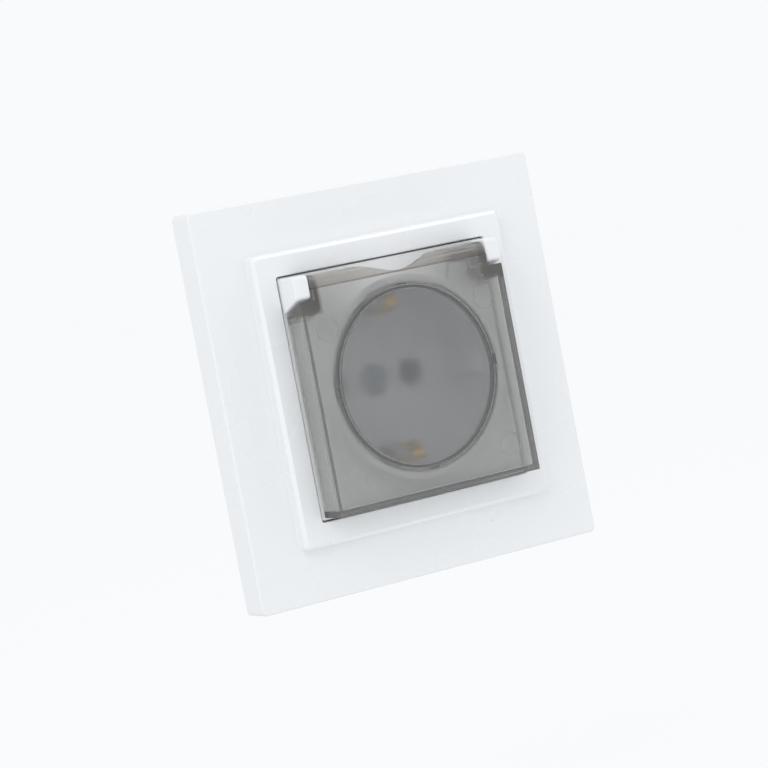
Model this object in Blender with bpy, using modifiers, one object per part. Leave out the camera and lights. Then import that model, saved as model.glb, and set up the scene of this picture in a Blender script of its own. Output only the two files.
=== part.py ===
"""Flush wall socket outlet with earth clips and a sprung, see-through hinged lid.

Bench frame used below: X to the right, Y up the wall, Z out of the wall, wall plane at Z = 0.
The empty "wall_plane" stands the finished part upright: +Z up, front towards -Y.
"""
import math

import bmesh
import bpy
from mathutils import Matrix, Vector

MM = 0.001

# Fits
FIT = 0.3 * MM                  # gap between two pieces that touch
EMBED = 0.3 * MM                # how far a joined shape reaches into its carrier
OVERRUN = 2.0 * MM              # how far a cutter runs past what it cuts

# Cover frame
FRAME_OVERHANG = 5.5 * MM       # frame outside the support ring
FRAME_DEPTH = 6.9 * MM
FRAME_WALL = 1.8 * MM
FRAME_CORNER = 1.2 * MM
FRAME_EDGE = 0.5 * MM
BEZEL_BORDER = 4.85 * MM        # bezel outside the opening for the plate
BEZEL_RISE = 2.6 * MM
BEZEL_CHAMFER = 0.65 * MM
BEZEL_CORNER = 0.9 * MM
LIP_WIDTH = 1.8 * MM
LIP_THICKNESS = 1.6 * MM
FRAME_RIB_THICKNESS = 1.2 * MM
FRAME_RIB_HEIGHT = 2.4 * MM
FRAME_RIBS_PER_SIDE = 3
FRAME_RIB_INSET = 1.15 * MM     # outer ribs inside the line of the opening

# Centre plate with its pot
PLATE_BORDER = 3.85 * MM        # plate outside the pot, at the middle of each side
PLATE_SINK = 0.5 * MM           # plate face below the bezel face
PLATE_WALL = 1.8 * MM
PLATE_CORNER = 0.6 * MM
PLATE_SKIRT = 2.4 * MM
PLATE_EDGE = 0.25 * MM
RECESS_DIAMETER = 39.0 * MM
RECESS_DEPTH = 17.5 * MM
POT_RIM = 5.0 * MM              # rim above the plate face
POT_WALL = 1.5 * MM
POT_FLOOR = 1.6 * MM
POT_EDGE = 0.3 * MM
RELIEF_HALF_ANGLE = math.radians(25.0)
RELIEF_DEPTH = 1.4 * MM
PIN_SPACING = 19.0 * MM
PIN_HOLE = 5.6 * MM
PIN_LEAD_IN = 0.7 * MM
GUIDE_RIB_WIDTH = 4.8 * MM
GUIDE_RIB_REACH = 2.3 * MM
GUIDE_RIB_EDGE = 0.4 * MM
SCREW_BOSS = 9.2 * MM
SCREW_BOSS_DROP = 1.8 * MM

# Lid and hinge
LID_INSET = 0.5 * MM            # lid inside the plate's outline, all round
LID_WALL = 1.4 * MM
LID_RIM_GAP = 0.4 * MM          # between pot rim and inner face of the lid
LID_EDGE = 0.5 * MM
LID_COLLAR_GAP = 0.65 * MM      # between the collar and the wall of the recess
LID_COLLAR_WALL = 0.7 * MM
LID_COLLAR_DROP = 1.4 * MM
COLLAR_TAB_WIDTH = 2.2 * MM
COLLAR_TAB_REACH = 0.3 * MM
HINGE_INSET = 2.15 * MM         # hinge axis below the lid's top edge
HINGE_DROP = 1.9 * MM           # hinge axis below the inner face of the lid
HINGE_PIN = 1.2 * MM
HINGE_PIN_HEAD = 2.2 * MM
HINGE_PIN_HEAD_THICKNESS = 0.4 * MM
HINGE_PIN_TIP = 0.2 * MM
EAR_WIDTH = 3.55 * MM
EAR_SETBACK = 0.4 * MM          # front of the ear behind the front of the lid
EAR_INSET = 0.15 * MM           # top of the ear inside the plate's edge
EAR_UNDER = 2.2 * MM            # ear below the hinge axis, at its front
EAR_FLARE = 3.2 * MM            # foot of the ear lower still
EAR_CORNER = 0.9 * MM
EAR_EDGE = 0.4 * MM
EAR_END_WALL = 0.6 * MM         # left closed at the outer end of the ear's bore
EAR_GAP = 1.9 * MM              # between the ear and the lid's knuckle wall
NOTCH_HEIGHT = 7.55 * MM
CREASE_INSET = 2.55 * MM
CREASE_STEP = 0.25 * MM
CREASE_DROP = 1.6 * MM
WAVE_HALF_WIDTH = 10.2 * MM
WAVE_DEPTH = 2.75 * MM

# Lid spring
SPRING_WIRE = 0.4 * MM
SPRING_TURNS = 6
SPRING_PITCH = 0.56 * MM
SPRING_LEG = 4.6 * MM
SPRING_ANCHOR_REACH = 2.8 * MM

# Support ring
RING_MARGIN = 5.5 * MM          # ring outside the circle of the box screws
RING_THICKNESS = 1.2 * MM
RING_CORNER_CUT = 9.0 * MM
RING_OPENING_MARGIN = 1.1 * MM
BOX_SCREW_OFFSET = 7.1 * MM     # box screws outside the ring's round opening
BOX_SLOT_WIDTH = 4.6 * MM
BOX_SLOT_HALF_ANGLE = math.radians(10.0)
BOX_KEYHOLE = 7.6 * MM
SURFACE_HOLE = 4.2 * MM
SURFACE_HOLE_INSET = 9.5 * MM

# Base housing
POT_CLEARANCE = 0.8 * MM
BASE_WALL = 3.2 * MM
BASE_DRAFT = 0.8 * MM
BASE_BODY = 20.9 * MM           # base behind the underside of the pot
BASE_FLOOR = 2.6 * MM
BASE_FLAT_CUT = 1.3 * MM
BASE_EDGE = 0.8 * MM
LUG_RADIUS = 2.7 * MM
LUG_OFFSET = 2.2 * MM           # rivet outside the base's round wall
LUG_THICKNESS = 3.6 * MM
LUG_ANGLES = (math.radians(135.0), math.radians(315.0))
WELL_GAP = 1.1 * MM             # contact sleeve to the middle web
WELL_WALL = 5.5 * MM            # base material outside the well at its middle
WELL_HALF_HEIGHT = 11.5 * MM
COVER_THICKNESS = 2.0 * MM
COVER_RIM = 3.0 * MM
COVER_RIM_WALL = 1.2 * MM
COVER_RIM_CORNER = 0.8 * MM
WIRE_HOLE = 3.6 * MM

# Current-carrying pieces
STRIP = 0.8 * MM
CONTACT_WALL = 0.7 * MM
CONTACT_BORE = 5.0 * MM
CONTACT_SLIT = 1.0 * MM
RAIL_DEPTH = 4.0 * MM           # rail below the ceiling of the well
RAIL_WIDTH = 5.6 * MM
TERMINAL_MARGIN = 0.9 * MM      # clamp plate to the outer wall of its well
TERMINAL_END_MARGIN = 0.4 * MM  # clamp plate to the end wall of its well
EARTH_SCREW_SETBACK = 5.8 * MM  # earth screw inside the riser of its clip
EARTH_WIDTH = 5.5 * MM
EARTH_HEAD_ROOM = 0.4 * MM      # earth screw heads to the underside of the pot
CLIP_WIDTH = 2.8 * MM
CLIP_SETBACK = 2.7 * MM         # clip's riser inside the wall of the recess
CLIP_TOP = 0.35 * MM            # fold of the clip above the plate face
CLIP_FOLD_RADIUS = 0.85 * MM
CLIP_REACH = 5.1 * MM           # clip's sprung side inside the wall of the recess
CLIP_BEND = 1.0 * MM
CLAMP_SIDE = 6.2 * MM
CLAMP_THICKNESS = 1.4 * MM
CLAMP_CORNER = 0.5 * MM
WIRE_OFFSET = 2.9 * MM

# Screws, bush and rivets
SCREW_SHANK = 3.0 * MM
SCREW_LENGTH = 7.2 * MM
SCREW_HEAD = 5.4 * MM
SCREW_HEAD_HEIGHT = 2.2 * MM
SCREW_SLOT = 0.9 * MM
SCREW_SLOT_DEPTH = 1.0 * MM
SCREW_TIP = 0.5 * MM
SCREW_END_ROOM = 1.0 * MM       # below the end of an earth screw
SCREW_HEAD_EDGE = 0.4 * MM
CENTRE_HEAD = 6.2 * MM
CENTRE_HEAD_HEIGHT = 1.4 * MM
CENTRE_HEAD_SINK = 0.3 * MM     # head below the floor of the recess
CENTRE_SCREW_SETBACK = 0.2 * MM  # end of the screw inside its bush
BUSH_DIAMETER = 5.2 * MM
BUSH_LENGTH = 7.6 * MM
RIVET_SHANK = 2.8 * MM
RIVET_HEAD = 4.4 * MM
RIVET_HEAD_HEIGHT = 0.7 * MM

# Fineness of round shapes
STEPS_LARGE = 56
STEPS_MEDIUM = 24
STEPS_SMALL = 16
STEPS_CORNER = 4

# Heights worked out from the values above, measured from the wall plane
BEZEL_TOP = FRAME_DEPTH + BEZEL_RISE
PLATE_TOP = BEZEL_TOP - PLATE_SINK
PLATE_UNDERSIDE = PLATE_TOP - PLATE_WALL
SKIRT_FOOT = PLATE_TOP - PLATE_SKIRT
LIP_TOP = SKIRT_FOOT - FIT
RIM_TOP = PLATE_TOP + POT_RIM
FLOOR_TOP = RIM_TOP - RECESS_DEPTH
FLOOR_UNDERSIDE = FLOOR_TOP - POT_FLOOR
CENTRE_HEAD_SEAT = FLOOR_TOP - CENTRE_HEAD_SINK - CENTRE_HEAD_HEIGHT
BOSS_FOOT = FLOOR_UNDERSIDE - SCREW_BOSS_DROP
LID_INSIDE = RIM_TOP + LID_RIM_GAP
LID_TOP = LID_INSIDE + LID_WALL
LID_FOOT = PLATE_TOP + FIT
HINGE_Z = LID_INSIDE - HINGE_DROP
BASE_TOP = -FIT
CAVITY_FLOOR = FLOOR_UNDERSIDE - FIT
WELL_CEILING = CAVITY_FLOOR - BASE_FLOOR
RAIL_TOP = WELL_CEILING - RAIL_DEPTH
EARTH_TOP = FLOOR_UNDERSIDE - EARTH_HEAD_ROOM - SCREW_HEAD_HEIGHT - FIT
GROOVE_FLOOR = EARTH_TOP - STRIP - FIT
CONTACT_TOP = WELL_CEILING - FIT
BUSH_TOP = GROOVE_FLOOR - FIT
BASE_REAR = FLOOR_UNDERSIDE - BASE_BODY
COVER_FRONT = BASE_REAR - FIT

# Half sizes and radii used in several places
RECESS_RADIUS = RECESS_DIAMETER / 2
POT_RADIUS = RECESS_RADIUS + POT_WALL
PLATE_HALF = POT_RADIUS + PLATE_BORDER
OPENING_HALF = PLATE_HALF + FIT
BEZEL_HALF = OPENING_HALF + BEZEL_BORDER
LID_HALF = PLATE_HALF - LID_INSET
EAR_INNER = PLATE_HALF - EAR_WIDTH
NOTCH_INNER = EAR_INNER - EAR_GAP
KNUCKLE_INNER = NOTCH_INNER - LID_WALL
HINGE_Y = LID_HALF - HINGE_INSET
PIN_BORE_RADIUS = HINGE_PIN / 2 + FIT
SHANK_BORE_RADIUS = SCREW_SHANK / 2 + FIT
CLIP_RISER_Y = RECESS_RADIUS - CLIP_SETBACK
EARTH_TERMINAL_Y = CLIP_RISER_Y - EARTH_SCREW_SETBACK
CAVITY_RADIUS = POT_RADIUS + POT_CLEARANCE
RING_OPENING_RADIUS = CAVITY_RADIUS + RING_OPENING_MARGIN
BOX_SCREW_RADIUS = RING_OPENING_RADIUS + BOX_SCREW_OFFSET
RING_HALF = BOX_SCREW_RADIUS + RING_MARGIN
FRAME_HALF = RING_HALF + FRAME_OVERHANG
BASE_RADIUS = CAVITY_RADIUS + BASE_WALL
BASE_FLAT_HALF = BASE_RADIUS - BASE_FLAT_CUT
LUG_PLACE = BASE_RADIUS + LUG_OFFSET
SLEEVE_RADIUS = CONTACT_BORE / 2 + CONTACT_WALL
WELL_INNER = PIN_SPACING / 2 - SLEEVE_RADIUS - WELL_GAP
WELL_OUTER = BASE_RADIUS - WELL_WALL
TERMINAL_X = WELL_OUTER - TERMINAL_MARGIN - CLAMP_SIDE / 2
TERMINAL_Y = WELL_HALF_HEIGHT - TERMINAL_END_MARGIN - CLAMP_SIDE / 2
HINGE_POINT = Vector((0.0, HINGE_Y, HINGE_Z))

part_group = bpy.data.collections.new("socket_with_lid")
cutter_group = bpy.data.collections.new("cutters")


def clear_scene():
    for item in list(bpy.data.objects):
        bpy.data.objects.remove(item, do_unlink=True)
    for group in (part_group, cutter_group):
        bpy.context.scene.collection.children.link(group)


def make_material(name, colour, roughness, metallic=0.0, alpha=1.0):
    material = bpy.data.materials.new(name)
    material.use_nodes = True
    material.diffuse_color = (*colour, alpha)
    shader = material.node_tree.nodes["Principled BSDF"]
    shader.inputs["Base Color"].default_value = (*colour, 1.0)
    shader.inputs["Roughness"].default_value = roughness
    shader.inputs["Metallic"].default_value = metallic
    shader.inputs["Alpha"].default_value = alpha
    return material


# Building blocks

def add_object(name, mesh, group):
    item = bpy.data.objects.new(name, mesh)
    group.objects.link(item)
    if group is cutter_group:
        item.hide_render = True
        item.display_type = "WIRE"
    return item


def object_from_bmesh(name, bm, group):
    bmesh.ops.recalc_face_normals(bm, faces=bm.faces)
    mesh = bpy.data.meshes.new(name)
    bm.to_mesh(mesh)
    bm.free()
    return add_object(name, mesh, group)


def box(name, low, high, group=cutter_group):
    """Axis-aligned box between two corners."""
    bm = bmesh.new()
    size = [b - a for a, b in zip(low, high)]
    middle = [(a + b) / 2 for a, b in zip(low, high)]
    place = Matrix.Translation(middle) @ Matrix.Diagonal((*size, 1.0))
    bmesh.ops.create_cube(bm, size=1.0, matrix=place)
    return object_from_bmesh(name, bm, group)


def boxes(name, corners, group=cutter_group):
    """Several separate boxes in one object, for a cut or a joint that repeats."""
    bm = bmesh.new()
    for low, high in corners:
        size = [b - a for a, b in zip(low, high)]
        middle = [(a + b) / 2 for a, b in zip(low, high)]
        place = Matrix.Translation(middle) @ Matrix.Diagonal((*size, 1.0))
        bmesh.ops.create_cube(bm, size=1.0, matrix=place)
    return object_from_bmesh(name, bm, group)


def cylinders(name, places, radius, low, high, count=STEPS_SMALL, group=cutter_group):
    """Upright cylinders of one size at several (x, y) places."""
    bm = bmesh.new()
    for x, y in places:
        bmesh.ops.create_cone(
            bm, cap_ends=True, segments=count, radius1=radius, radius2=radius,
            depth=high - low, matrix=Matrix.Translation((x, y, (low + high) / 2)))
    return object_from_bmesh(name, bm, group)


def side_cylinder(name, x_low, x_high, radius, y, z, count=STEPS_SMALL, group=cutter_group):
    """Cylinder along X."""
    bm = bmesh.new()
    place = Matrix.Translation(((x_low + x_high) / 2, y, z)) @ Matrix.Rotation(math.pi / 2, 4, "Y")
    bmesh.ops.create_cone(bm, cap_ends=True, segments=count, radius1=radius, radius2=radius,
                          depth=x_high - x_low, matrix=place)
    return object_from_bmesh(name, bm, group)


def turned(name, profile, count, place=Matrix.Identity(4), group=part_group):
    """Revolve (radius, height) points, listed down the outer side, about the upright axis."""
    bm = bmesh.new()
    points = [bm.verts.new((radius, 0.0, height)) for radius, height in profile]
    for first, second in zip(points, points[1:]):
        bm.edges.new((first, second))
    if profile[0][0] > 0.0:
        bm.edges.new((points[-1], points[0]))
    mesh = bpy.data.meshes.new(name)
    bm.to_mesh(mesh)
    bm.free()
    item = add_object(name, mesh, group)
    item.matrix_local = place
    screw = item.modifiers.new("Turn", "SCREW")
    screw.steps = count
    screw.render_steps = count
    screw.use_merge_vertices = True
    screw.merge_threshold = 0.00001
    return item


def flat_piece(name, outlines, low, high, group=part_group, place=Matrix.Identity(4)):
    """Extrude flat outlines (the first is the edge, the others are holes) from low to high."""
    curve = bpy.data.curves.new(name, "CURVE")
    curve.dimensions = "2D"
    curve.fill_mode = "BOTH"
    curve.extrude = (high - low) / 2
    for outline in outlines:
        spline = curve.splines.new("POLY")
        spline.points.add(len(outline) - 1)
        for point, (x, y) in zip(spline.points, outline):
            point.co = (x, y, 0.0, 1.0)
        spline.use_cyclic_u = True
    drawn = bpy.data.objects.new(name + "_outline", curve)
    bpy.context.scene.collection.objects.link(drawn)
    bpy.context.view_layer.update()
    mesh = bpy.data.meshes.new_from_object(drawn.evaluated_get(bpy.context.evaluated_depsgraph_get()))
    bpy.data.objects.remove(drawn, do_unlink=True)
    bpy.data.curves.remove(curve)
    bm = bmesh.new()
    bm.from_mesh(mesh)
    bpy.data.meshes.remove(mesh)
    bmesh.ops.remove_doubles(bm, verts=bm.verts, dist=0.000001)
    bmesh.ops.transform(bm, matrix=place @ Matrix.Translation((0, 0, (low + high) / 2)), verts=bm.verts)
    return object_from_bmesh(name, bm, group)


ALONG_X = Matrix(((0, 0, 1, 0), (1, 0, 0, 0), (0, 1, 0, 0), (0, 0, 0, 1)))


def side_piece(name, outline, x_low, x_high, group=part_group):
    """Extrude a (y, z) outline along X."""
    return flat_piece(name, [outline], x_low, x_high, group, ALONG_X)


def rounded_rectangle(half_x, half_y, radius, steps=STEPS_CORNER):
    points = []
    for quarter, (sx, sy) in enumerate(((1, 1), (-1, 1), (-1, -1), (1, -1))):
        for step in range(steps + 1):
            angle = (quarter + step / steps) * math.pi / 2
            points.append((sx * (half_x - radius) + radius * math.cos(angle),
                           sy * (half_y - radius) + radius * math.sin(angle)))
    return points


def arc(centre, radius, start, end, steps):
    return [(centre[0] + radius * math.cos(start + (end - start) * i / steps),
             centre[1] + radius * math.sin(start + (end - start) * i / steps))
            for i in range(steps + 1)]


def circle(centre, radius, count):
    return arc(centre, radius, 0.0, math.tau, count)[:-1]


def square_loft(name, sections, group=part_group):
    """Closed band lofted through rounded squares, each (half side, corner radius, height)."""
    bm = bmesh.new()
    rings = [[bm.verts.new((x, y, height)) for x, y in rounded_rectangle(half, half, radius)]
             for half, radius, height in sections]
    for first, second in zip(rings, rings[1:] + rings[:1]):
        for a, b, c, d in zip(first, first[1:] + first[:1], second[1:] + second[:1], second):
            bm.faces.new((a, b, c, d))
    return object_from_bmesh(name, bm, group)


def strip_outline(path, thickness):
    """Outline of a bent strip: its centre line offset to both sides."""
    near, far = [], []
    for index, point in enumerate(path):
        before = path[max(index - 1, 0)]
        after = path[min(index + 1, len(path) - 1)]
        into = Vector((point[0] - before[0], point[1] - before[1]))
        out = Vector((after[0] - point[0], after[1] - point[1]))
        if into.length == 0.0:
            into = out
        if out.length == 0.0:
            out = into
        into.normalize()
        out.normalize()
        normal = Vector((-into.y - out.y, into.x + out.x)).normalized()
        reach = thickness / 2 / normal.dot(Vector((-into.y, into.x)))
        near.append((point[0] + normal.x * reach, point[1] + normal.y * reach))
        far.append((point[0] - normal.x * reach, point[1] - normal.y * reach))
    return near + far[::-1]


def combine(target, other, operation):
    step = target.modifiers.new(operation.title(), "BOOLEAN")
    step.operation = operation
    step.object = other


def cut(target, *tools):
    for tool in tools:
        combine(target, tool, "DIFFERENCE")


def join(target, *tools):
    for tool in tools:
        combine(target, tool, "UNION")


def soften(target, width, segments=2, angle=math.radians(40.0)):
    step = target.modifiers.new("Soften", "BEVEL")
    step.width = width
    step.segments = segments
    step.limit_method = "ANGLE"
    step.angle_limit = angle


def finish(item, material, smooth_angle=math.radians(35.0)):
    item.data.materials.clear()
    item.data.materials.append(material)
    item.data.shade_smooth()
    item.data.set_sharp_from_angle(angle=smooth_angle)
    return item


# Pieces

def build_cover_frame(material):
    """Square moulded shell with a raised bezel and an inner lip that the centre plate clamps."""
    outer = FRAME_HALF
    bezel = BEZEL_HALF
    lip = OPENING_HALF - LIP_WIDTH
    lip_underside = LIP_TOP - LIP_THICKNESS
    inner_wall = OPENING_HALF + FRAME_WALL
    skin = FRAME_DEPTH - FRAME_WALL
    sections = [(outer, FRAME_CORNER, 0.0)]
    for reach, height in arc((outer - FRAME_EDGE, FRAME_DEPTH - FRAME_EDGE), FRAME_EDGE, 0.0,
                             math.pi / 2, 3):
        sections.append((reach, FRAME_CORNER - (outer - reach), height))
    sections += [
        (bezel, BEZEL_CORNER, FRAME_DEPTH),
        (bezel, BEZEL_CORNER, BEZEL_TOP - BEZEL_CHAMFER),
        (bezel - BEZEL_CHAMFER, BEZEL_CORNER - BEZEL_CHAMFER / 2, BEZEL_TOP),
        (OPENING_HALF + FIT / 2, PLATE_CORNER, BEZEL_TOP),
        (OPENING_HALF, PLATE_CORNER, BEZEL_TOP - FIT / 2),
        (OPENING_HALF, PLATE_CORNER, LIP_TOP),
        (lip, PLATE_CORNER, LIP_TOP),
        (lip, PLATE_CORNER, lip_underside),
        (inner_wall, PLATE_CORNER, lip_underside),
        (inner_wall, PLATE_CORNER, BEZEL_TOP - FRAME_WALL),
        (bezel - FRAME_WALL, PLATE_CORNER, BEZEL_TOP - FRAME_WALL),
        (bezel - FRAME_WALL, PLATE_CORNER, skin),
        (outer - FRAME_WALL, PLATE_CORNER, skin),
        (outer - FRAME_WALL, PLATE_CORNER, 0.0),
    ]
    frame = square_loft("cover_frame", sections)
    ribs = []
    half = FRAME_RIB_THICKNESS / 2
    low, high = skin - FRAME_RIB_HEIGHT, skin + EMBED
    near, far = inner_wall - EMBED, outer - FRAME_WALL + EMBED
    for index in range(FRAME_RIBS_PER_SIDE):
        along = (2 * index / (FRAME_RIBS_PER_SIDE - 1) - 1) * (OPENING_HALF - FRAME_RIB_INSET)
        for sign in (-1, 1):
            reach = sorted((sign * near, sign * far))
            ribs.append(((along - half, reach[0], low), (along + half, reach[1], high)))
            ribs.append(((reach[0], along - half, low), (reach[1], along + half, high)))
    join(frame, boxes("frame_ribs", ribs))
    return finish(frame, material)


def relief_outline(inner, outer, half_angle, middle_angle):
    """Slice of a ring between two radii, about one direction."""
    start, end = middle_angle - half_angle, middle_angle + half_angle
    return arc((0, 0), outer, start, end, 10) + arc((0, 0), inner, end, start, 10)


def ear_outline():
    """Side view of a hinge ear: round front corners and a slanting under side."""
    foot = PLATE_UNDERSIDE + EMBED
    front = LID_TOP - EAR_SETBACK
    top = PLATE_HALF - EAR_INSET
    under = HINGE_Y - EAR_UNDER
    slant = math.atan2(front - foot, EAR_FLARE)
    lower_centre = under + EAR_CORNER * math.tan(slant / 2)
    upper = arc((top - EAR_CORNER, front - EAR_CORNER), EAR_CORNER, 0.0, math.pi / 2, 4)
    lower = arc((lower_centre, front - EAR_CORNER), EAR_CORNER, math.pi / 2, math.pi / 2 + slant, 4)
    return [(top, foot)] + upper + lower + [(under - EAR_FLARE, foot)]


def build_centre_plate(material):
    """Plate with skirt, hinge ears and the round pot that takes the plug."""
    half = PLATE_HALF
    plate = flat_piece("centre_plate", [rounded_rectangle(half, half, PLATE_CORNER)],
                       SKIRT_FOOT, PLATE_TOP)
    soften(plate, PLATE_EDGE)
    inside = half - PLATE_WALL
    cut(plate, flat_piece("skirt_hollow", [rounded_rectangle(inside, inside, PLATE_CORNER)],
                          SKIRT_FOOT - EMBED, PLATE_UNDERSIDE, cutter_group))

    join(plate, turned("pot_outside", [
        (0.0, RIM_TOP), (POT_RADIUS - POT_EDGE, RIM_TOP), (POT_RADIUS, RIM_TOP - POT_EDGE),
        (POT_RADIUS, FLOOR_UNDERSIDE), (0.0, FLOOR_UNDERSIDE)], STEPS_LARGE, group=cutter_group))
    cut(plate, turned("recess", [
        (0.0, RIM_TOP + EMBED), (RECESS_RADIUS, RIM_TOP + EMBED), (RECESS_RADIUS, FLOOR_TOP),
        (0.0, FLOOR_TOP)], STEPS_LARGE, group=cutter_group))

    for sign, side in ((-1, "left"), (1, "right")):
        reach = sorted((sign * (RECESS_RADIUS - GUIDE_RIB_REACH), sign * (RECESS_RADIUS + EMBED)))
        rib = box("guide_rib_" + side, (reach[0], -GUIDE_RIB_WIDTH / 2, FLOOR_TOP - EMBED),
                  (reach[1], GUIDE_RIB_WIDTH / 2, PLATE_TOP))
        soften(rib, GUIDE_RIB_EDGE, 1)
        join(plate, rib)
        ear_place = sorted((sign * EAR_INNER, sign * half))
        ear = side_piece("ear_" + side, ear_outline(), ear_place[0], ear_place[1], cutter_group)
        soften(ear, EAR_EDGE, 2, math.radians(60.0))
        join(plate, ear)
        bore = sorted((sign * (EAR_INNER - EMBED), sign * (half - EAR_END_WALL)))
        cut(plate, side_cylinder("ear_bore_" + side, bore[0], bore[1], PIN_BORE_RADIUS, HINGE_Y, HINGE_Z))

    join(plate, cylinders("screw_boss", [(0, 0)], SCREW_BOSS / 2, BOSS_FOOT,
                          (FLOOR_TOP + FLOOR_UNDERSIDE) / 2, STEPS_MEDIUM))
    cut(plate,
        cylinders("head_seat", [(0, 0)], CENTRE_HEAD / 2 + FIT, CENTRE_HEAD_SEAT - FIT,
                  FLOOR_TOP + EMBED, STEPS_MEDIUM),
        cylinders("screw_passage", [(0, 0)], SHANK_BORE_RADIUS, BOSS_FOOT - OVERRUN, FLOOR_TOP + EMBED))
    for sign, side in ((-1, "left"), (1, "right")):
        radius = PIN_HOLE / 2
        cut(plate, turned("pin_hole_" + side, [
            (0.0, FLOOR_TOP + PIN_LEAD_IN), (radius + 2 * PIN_LEAD_IN, FLOOR_TOP + PIN_LEAD_IN),
            (radius, FLOOR_TOP - PIN_LEAD_IN), (radius, FLOOR_UNDERSIDE - PIN_LEAD_IN),
            (0.0, FLOOR_UNDERSIDE - PIN_LEAD_IN)], STEPS_MEDIUM,
            Matrix.Translation((sign * PIN_SPACING / 2, 0, 0)), cutter_group))
    slot = CLIP_WIDTH / 2 + FIT
    slot_near = RECESS_RADIUS - CLIP_REACH - FIT
    slot_far = CLIP_RISER_Y + STRIP / 2 + FIT
    cut(plate, boxes("clip_slots", [
        ((-slot, slot_near, FLOOR_UNDERSIDE - EMBED), (slot, slot_far, FLOOR_TOP + EMBED)),
        ((-slot, -slot_far, FLOOR_UNDERSIDE - EMBED), (slot, -slot_near, FLOOR_TOP + EMBED))]))
    cut(plate, flat_piece("rim_relief", [relief_outline(RECESS_RADIUS - EMBED, POT_RADIUS + EMBED,
                                                        RELIEF_HALF_ANGLE, math.pi / 2)],
                          RIM_TOP - RELIEF_DEPTH, RIM_TOP + EMBED, cutter_group))
    return finish(plate, material)


def lid_side_outline():
    """Side view of the closed lid: straight front, round shoulder and heel at the hinge."""
    crease = LID_HALF - CREASE_INSET
    shoulder = [(crease + CREASE_INSET * math.cos(angle), LID_TOP - CREASE_DROP * (1 - math.sin(angle)))
                for angle in (math.pi / 2 * step / 6 for step in range(7))]
    heel_radius = HINGE_Z - LID_FOOT
    heel_end = math.acos(HINGE_INSET / heel_radius)
    heel = arc((HINGE_Y, HINGE_Z), heel_radius, -math.pi / 2, -heel_end, 5)
    return [(-LID_HALF, LID_TOP), (-LID_HALF, LID_FOOT)] + heel + shoulder


def build_lid(material, hinge):
    """Clear moulded lid: shell with corner notches, knuckle walls, sealing collar and finger wave."""
    lid = side_piece("lid", lid_side_outline(), -LID_HALF, LID_HALF)
    soften(lid, LID_EDGE, 2, math.radians(50.0))
    beyond = LID_HALF + OVERRUN
    notch_y = LID_HALF - NOTCH_HEIGHT
    low, high = LID_FOOT - OVERRUN, LID_TOP + OVERRUN
    cut(lid, boxes("lid_notches", [
        ((-beyond, notch_y, low), (-NOTCH_INNER, beyond, high)),
        ((NOTCH_INNER, notch_y, low), (beyond, beyond, high))]))
    inside = LID_HALF - LID_WALL
    shoulder_y = notch_y - LID_WALL
    hollow = [(-inside, -inside), (inside, -inside), (inside, shoulder_y), (KNUCKLE_INNER, shoulder_y),
              (KNUCKLE_INNER, beyond), (-KNUCKLE_INNER, beyond), (-KNUCKLE_INNER, shoulder_y),
              (-inside, shoulder_y)]
    cut(lid, flat_piece("lid_hollow", [hollow], low, LID_INSIDE, cutter_group))
    crease = LID_HALF - CREASE_INSET
    cut(lid, box("crease_step", (-beyond, crease, LID_TOP - CREASE_STEP), (beyond, beyond, high)))
    wave = [(-WAVE_HALF_WIDTH + WAVE_HALF_WIDTH * i / 10,
             LID_HALF - WAVE_DEPTH * (0.5 - 0.5 * math.cos(math.pi * i / 10))) for i in range(21)]
    wave += [(WAVE_HALF_WIDTH, beyond), (-WAVE_HALF_WIDTH, beyond)]
    cut(lid, flat_piece("finger_wave", [wave], low, high, cutter_group))

    collar_radius = RECESS_RADIUS - LID_COLLAR_GAP
    collar_foot = LID_INSIDE - LID_COLLAR_DROP
    collar_bore = collar_radius - LID_COLLAR_WALL
    join(lid, turned("collar", [
        (collar_radius, LID_INSIDE + EMBED), (collar_radius, collar_foot),
        (collar_bore, collar_foot), (collar_bore, LID_INSIDE + EMBED)], STEPS_LARGE, group=cutter_group))
    half = COLLAR_TAB_WIDTH / 2
    near, far = collar_radius - EMBED, collar_radius + COLLAR_TAB_REACH
    foot, top = collar_foot + EMBED, LID_INSIDE + EMBED
    join(lid, boxes("collar_tabs", [
        ((near, -half, foot), (far, half, top)), ((-far, -half, foot), (-near, half, top)),
        ((-half, near, foot), (half, far, top)), ((-half, -far, foot), (half, -near, top))]))
    for sign, side in ((-1, "left"), (1, "right")):
        through = sorted((sign * (KNUCKLE_INNER - EMBED), sign * (NOTCH_INNER + EMBED)))
        cut(lid, side_cylinder("knuckle_bore_" + side, through[0], through[1], PIN_BORE_RADIUS,
                               HINGE_Y, HINGE_Z))
    anchor_y, anchor_z = spring_anchor()
    cut(lid, side_cylinder("anchor_bore", KNUCKLE_INNER - EMBED, NOTCH_INNER + EMBED,
                           SPRING_WIRE / 2 + FIT, anchor_y, anchor_z, 12))
    lid.parent = hinge
    lid.location = -HINGE_POINT
    return finish(lid, material)


def build_hinge_pin(side, sign, inner_end, material):
    """Headed steel pin along X, through the lid's knuckle wall into the ear."""
    outer_end = PLATE_HALF - EAR_END_WALL - FIT
    length = outer_end - inner_end
    head = HINGE_PIN_HEAD_THICKNESS
    profile = [(0.0, 0.0), (HINGE_PIN_HEAD / 2, 0.0), (HINGE_PIN_HEAD / 2, -head),
               (HINGE_PIN / 2, -head), (HINGE_PIN / 2, -length + HINGE_PIN_TIP),
               (HINGE_PIN / 2 - HINGE_PIN_TIP, -length), (0.0, -length)]
    turn = Matrix.Rotation(-sign * math.pi / 2, 4, "Y")
    pin = turned("hinge_pin_" + side, profile, STEPS_SMALL,
                 Matrix.Translation((sign * inner_end, HINGE_Y, HINGE_Z)) @ turn)
    return finish(pin, material)


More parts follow.
